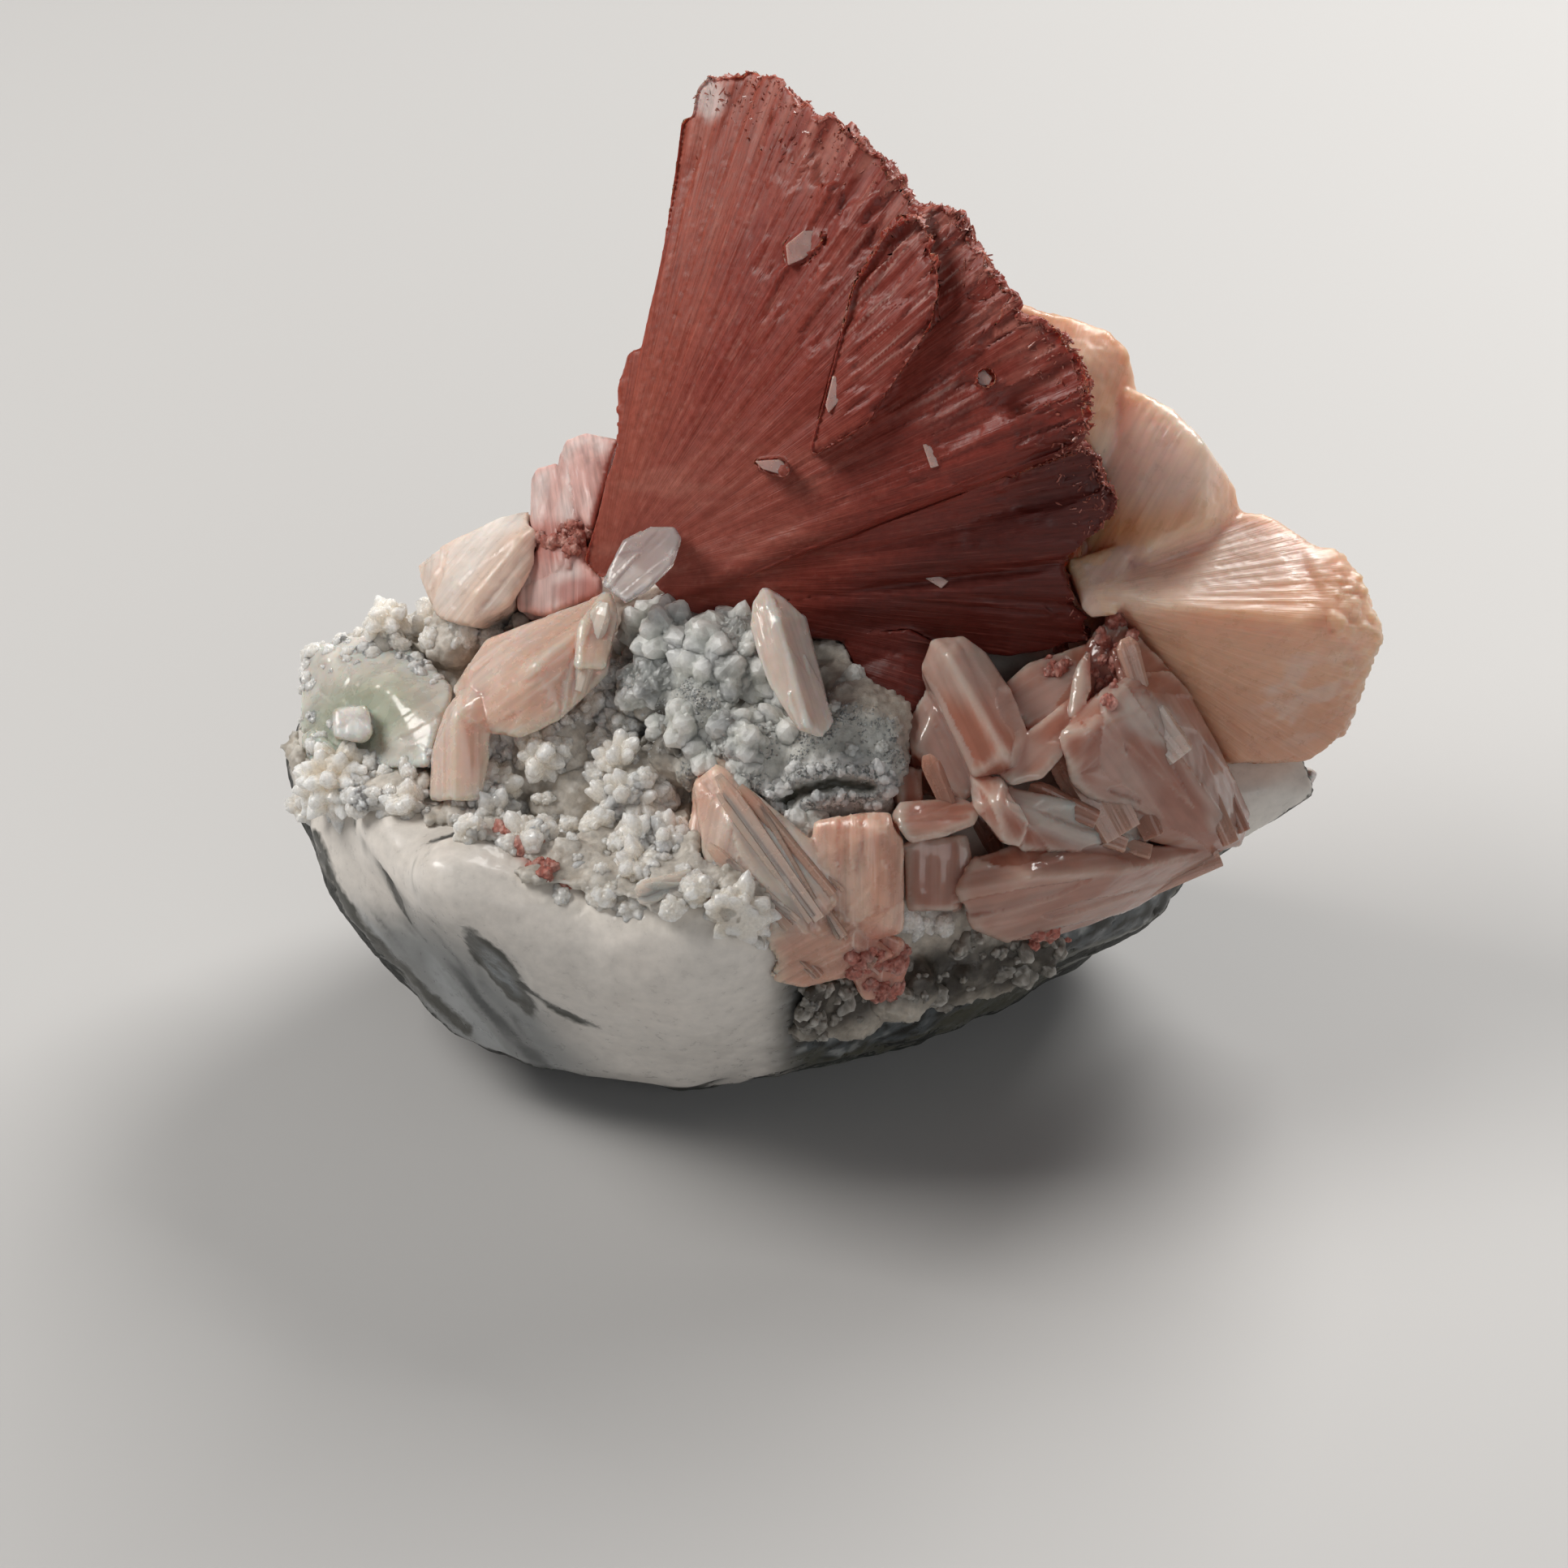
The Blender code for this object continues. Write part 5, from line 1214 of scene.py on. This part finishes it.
surfaces = search_tree([pink_form, centre_form, crust_form, rock_form, left_form, white_form, cluster_form,
                        block_form, peach_form])
glassy = mineral("small_crystals", streak=(4.0, 0.15, 3.0), streak_contrast=0.10, speck=600.0,
                 speck_contrast=0.05, roughness=(0.14, 0.34), bump=0.2, subsurface=0.6,
                 radius=(1.0, 0.6, 0.5), depth=1.5, transmission=0.15, coat=0.2)
blades("pink_small_blades", surfaces, PINK_BLADES, glassy, 302, sink=1.5)
blades("centre_small_blades", surfaces, with_offshoots(CENTRE_BLADES, 2, 303), glassy, 304)
blades("left_small_blades", surfaces, LEFT_BLADES, glassy, 306)
fibres = mineral("red_fibres", streak=(4.0, 0.3, 3.0), streak_contrast=0.3, roughness=(0.45, 0.65), bump=0.3,
                 subsurface=0.2, radius=(1.0, 0.4, 0.3), depth=0.8)
for form in (crust_form, rock_form, centre_form, pink_form, cluster_form):
    right, down, _ = on_drawing(form.points)
    wanted = np.zeros(len(form.points))
    for place, size, turn in RED_PLACES:
        wanted = np.maximum(wanted, spot(right, down, place, size, turn, 0.5))
    wanted *= fade(-(form.normals() @ ALONG), 0.0, 0.3)
    # The three colours: painted shade at the foot, the top, and a painted highlight on raised grains
    knobs("red_lumps_on_" + form.node, form, wanted, 26, (0.3, 0.85), fibres, "red_stilbite", 310,
          (0.30, 0.075, 0.055), (0.50, 0.17, 0.13), (0.72, 0.42, 0.36), grain=0.35, rough=0.3, lobes=0.5,
          spacing=0.4, sink=0.3, rounds=3)

# Clear plates on the fan's face
FAN_PLATES = [
    [(968, 302), (990, 284), (1012, 285), (1013, 300), (990, 319), (971, 327)],
    [(930, 568), (962, 566), (972, 578), (966, 586), (940, 578)],
    [(1203, 462), (1212, 455), (1223, 466), (1218, 477), (1205, 474)],
    [(1017, 500), (1026, 463), (1041, 466), (1036, 492), (1021, 509)],
    [(1137, 548), (1148, 544), (1157, 574), (1147, 577)],
    [(1141, 700), (1169, 716), (1160, 725), (1139, 712)],
]


PLATE_FORWARD, PLATE_BACK, PLATE_BEVEL = 0.15, 0.6, 0.06


def build_fan_plates():
    tree = search_tree([fan_form])
    bm = bmesh.new()
    for outline in FAN_PLATES:
        middle = tuple(np.mean(outline, axis=0))
        levels = [forward_of(tree, right, down) for right, down in outline + [middle]]
        level = np.median([found for found in levels if found is not None])
        corners = [seen(right, down, level + PLATE_FORWARD) for right, down in outline]
        corners += [seen(right, down, level - PLATE_BACK) for right, down in outline]
        bmesh.ops.convex_hull(bm, input=[bm.verts.new(corner) for corner in corners])
    bmesh.ops.bevel(bm, geom=list(bm.edges), offset=PLATE_BEVEL, segments=1, affect="EDGES")
    bmesh.ops.triangulate(bm, faces=bm.faces)
    bmesh.ops.recalc_face_normals(bm, faces=bm.faces)
    mesh = bpy.data.meshes.new("fan_clear_plates")
    bm.to_mesh(mesh)
    bm.free()
    count = len(mesh.vertices)
    places = np.empty(count * 3)
    mesh.vertices.foreach_get("co", places)
    mesh.vertices.foreach_set("co", places * MM)
    give_colours(mesh, np.tile((0.78, 0.50, 0.45), (count, 1)), places.reshape(-1, 3))
    paint = mineral("fan_plate_heulandite", streak=(1.2, 0.8, 0.8), streak_contrast=0.08,
                    roughness=(0.15, 0.35), bump=0.25, subsurface=0.6, depth=0.8, transmission=0.25)
    mesh.materials.append(paint.material)
    piece = bpy.data.objects.new("fan_clear_plates", mesh)
    bpy.context.scene.collection.objects.link(piece)
    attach(piece, "root")


build_fan_plates()


# The room: floor, lights and camera

def soft_light(name, place, target, size, power, colour=(1, 1, 1)):
    light = bpy.data.lights.new(name, "AREA")
    light.shape = "RECTANGLE"
    light.size, light.size_y = size
    light.energy = power
    light.color = colour
    lamp = bpy.data.objects.new(name, light)
    lamp.location = place
    lamp.rotation_euler = (Vector(target) - Vector(place)).to_track_quat("-Z", "Y").to_euler()
    bpy.context.scene.collection.objects.link(lamp)


FLOOR_REACH = 3
floor_mesh = bpy.data.meshes.new("floor")
floor_corners = [(x * FLOOR_REACH, y * FLOOR_REACH, 0) for x, y in [(-1, -1), (1, -1), (1, 1), (-1, 1)]]
floor_mesh.from_pydata(floor_corners, [], [(0, 1, 2, 3)])
floor_paint = bpy.data.materials.new("floor")
floor_paint.use_nodes = True
floor_shader = floor_paint.node_tree.nodes["Principled BSDF"]
floor_shader.inputs["Base Color"].default_value = (0.52, 0.515, 0.51, 1)
floor_shader.inputs["Roughness"].default_value = 0.6
floor_mesh.materials.append(floor_paint)
floor = bpy.data.objects.new("floor", floor_mesh)
bpy.context.scene.collection.objects.link(floor)

CENTRE = (0.0, 0.0, 0.035)
soft_light("key", (-0.40, 0.02, 0.46), CENTRE, (0.26, 0.26), 2.5, (1.0, 0.97, 0.93))
soft_light("fill", (0.25, -0.65, 0.35), CENTRE, (0.6, 0.4), 1.0)
soft_light("back", (0.28, 0.42, 0.45), CENTRE, (0.35, 0.3), 4.2, (1.0, 0.98, 0.95))

world = bpy.data.worlds.new("studio")
bpy.context.scene.world = world
world.use_nodes = True
world.node_tree.nodes["Background"].inputs["Color"].default_value = (0.75, 0.77, 0.80, 1)
world.node_tree.nodes["Background"].inputs["Strength"].default_value = 0.10

camera = bpy.data.cameras.new("camera")
camera.sensor_width = SENSOR_WIDTH
camera.lens = DISTANCE / DRAWING_STEP / DRAWING_SIDE * SENSOR_WIDTH
camera.clip_start = 0.01
camera.clip_end = 10.0
eye = bpy.data.objects.new("camera", camera)
eye.matrix_world = Matrix(((RIGHT[0], UP[0], -ALONG[0], EYE[0] * MM),
                           (RIGHT[1], UP[1], -ALONG[1], EYE[1] * MM),
                           (RIGHT[2], UP[2], -ALONG[2], EYE[2] * MM), (0, 0, 0, 1)))
bpy.context.scene.collection.objects.link(eye)
bpy.context.scene.camera = eye

bpy.context.scene.view_settings.view_transform = "Standard"
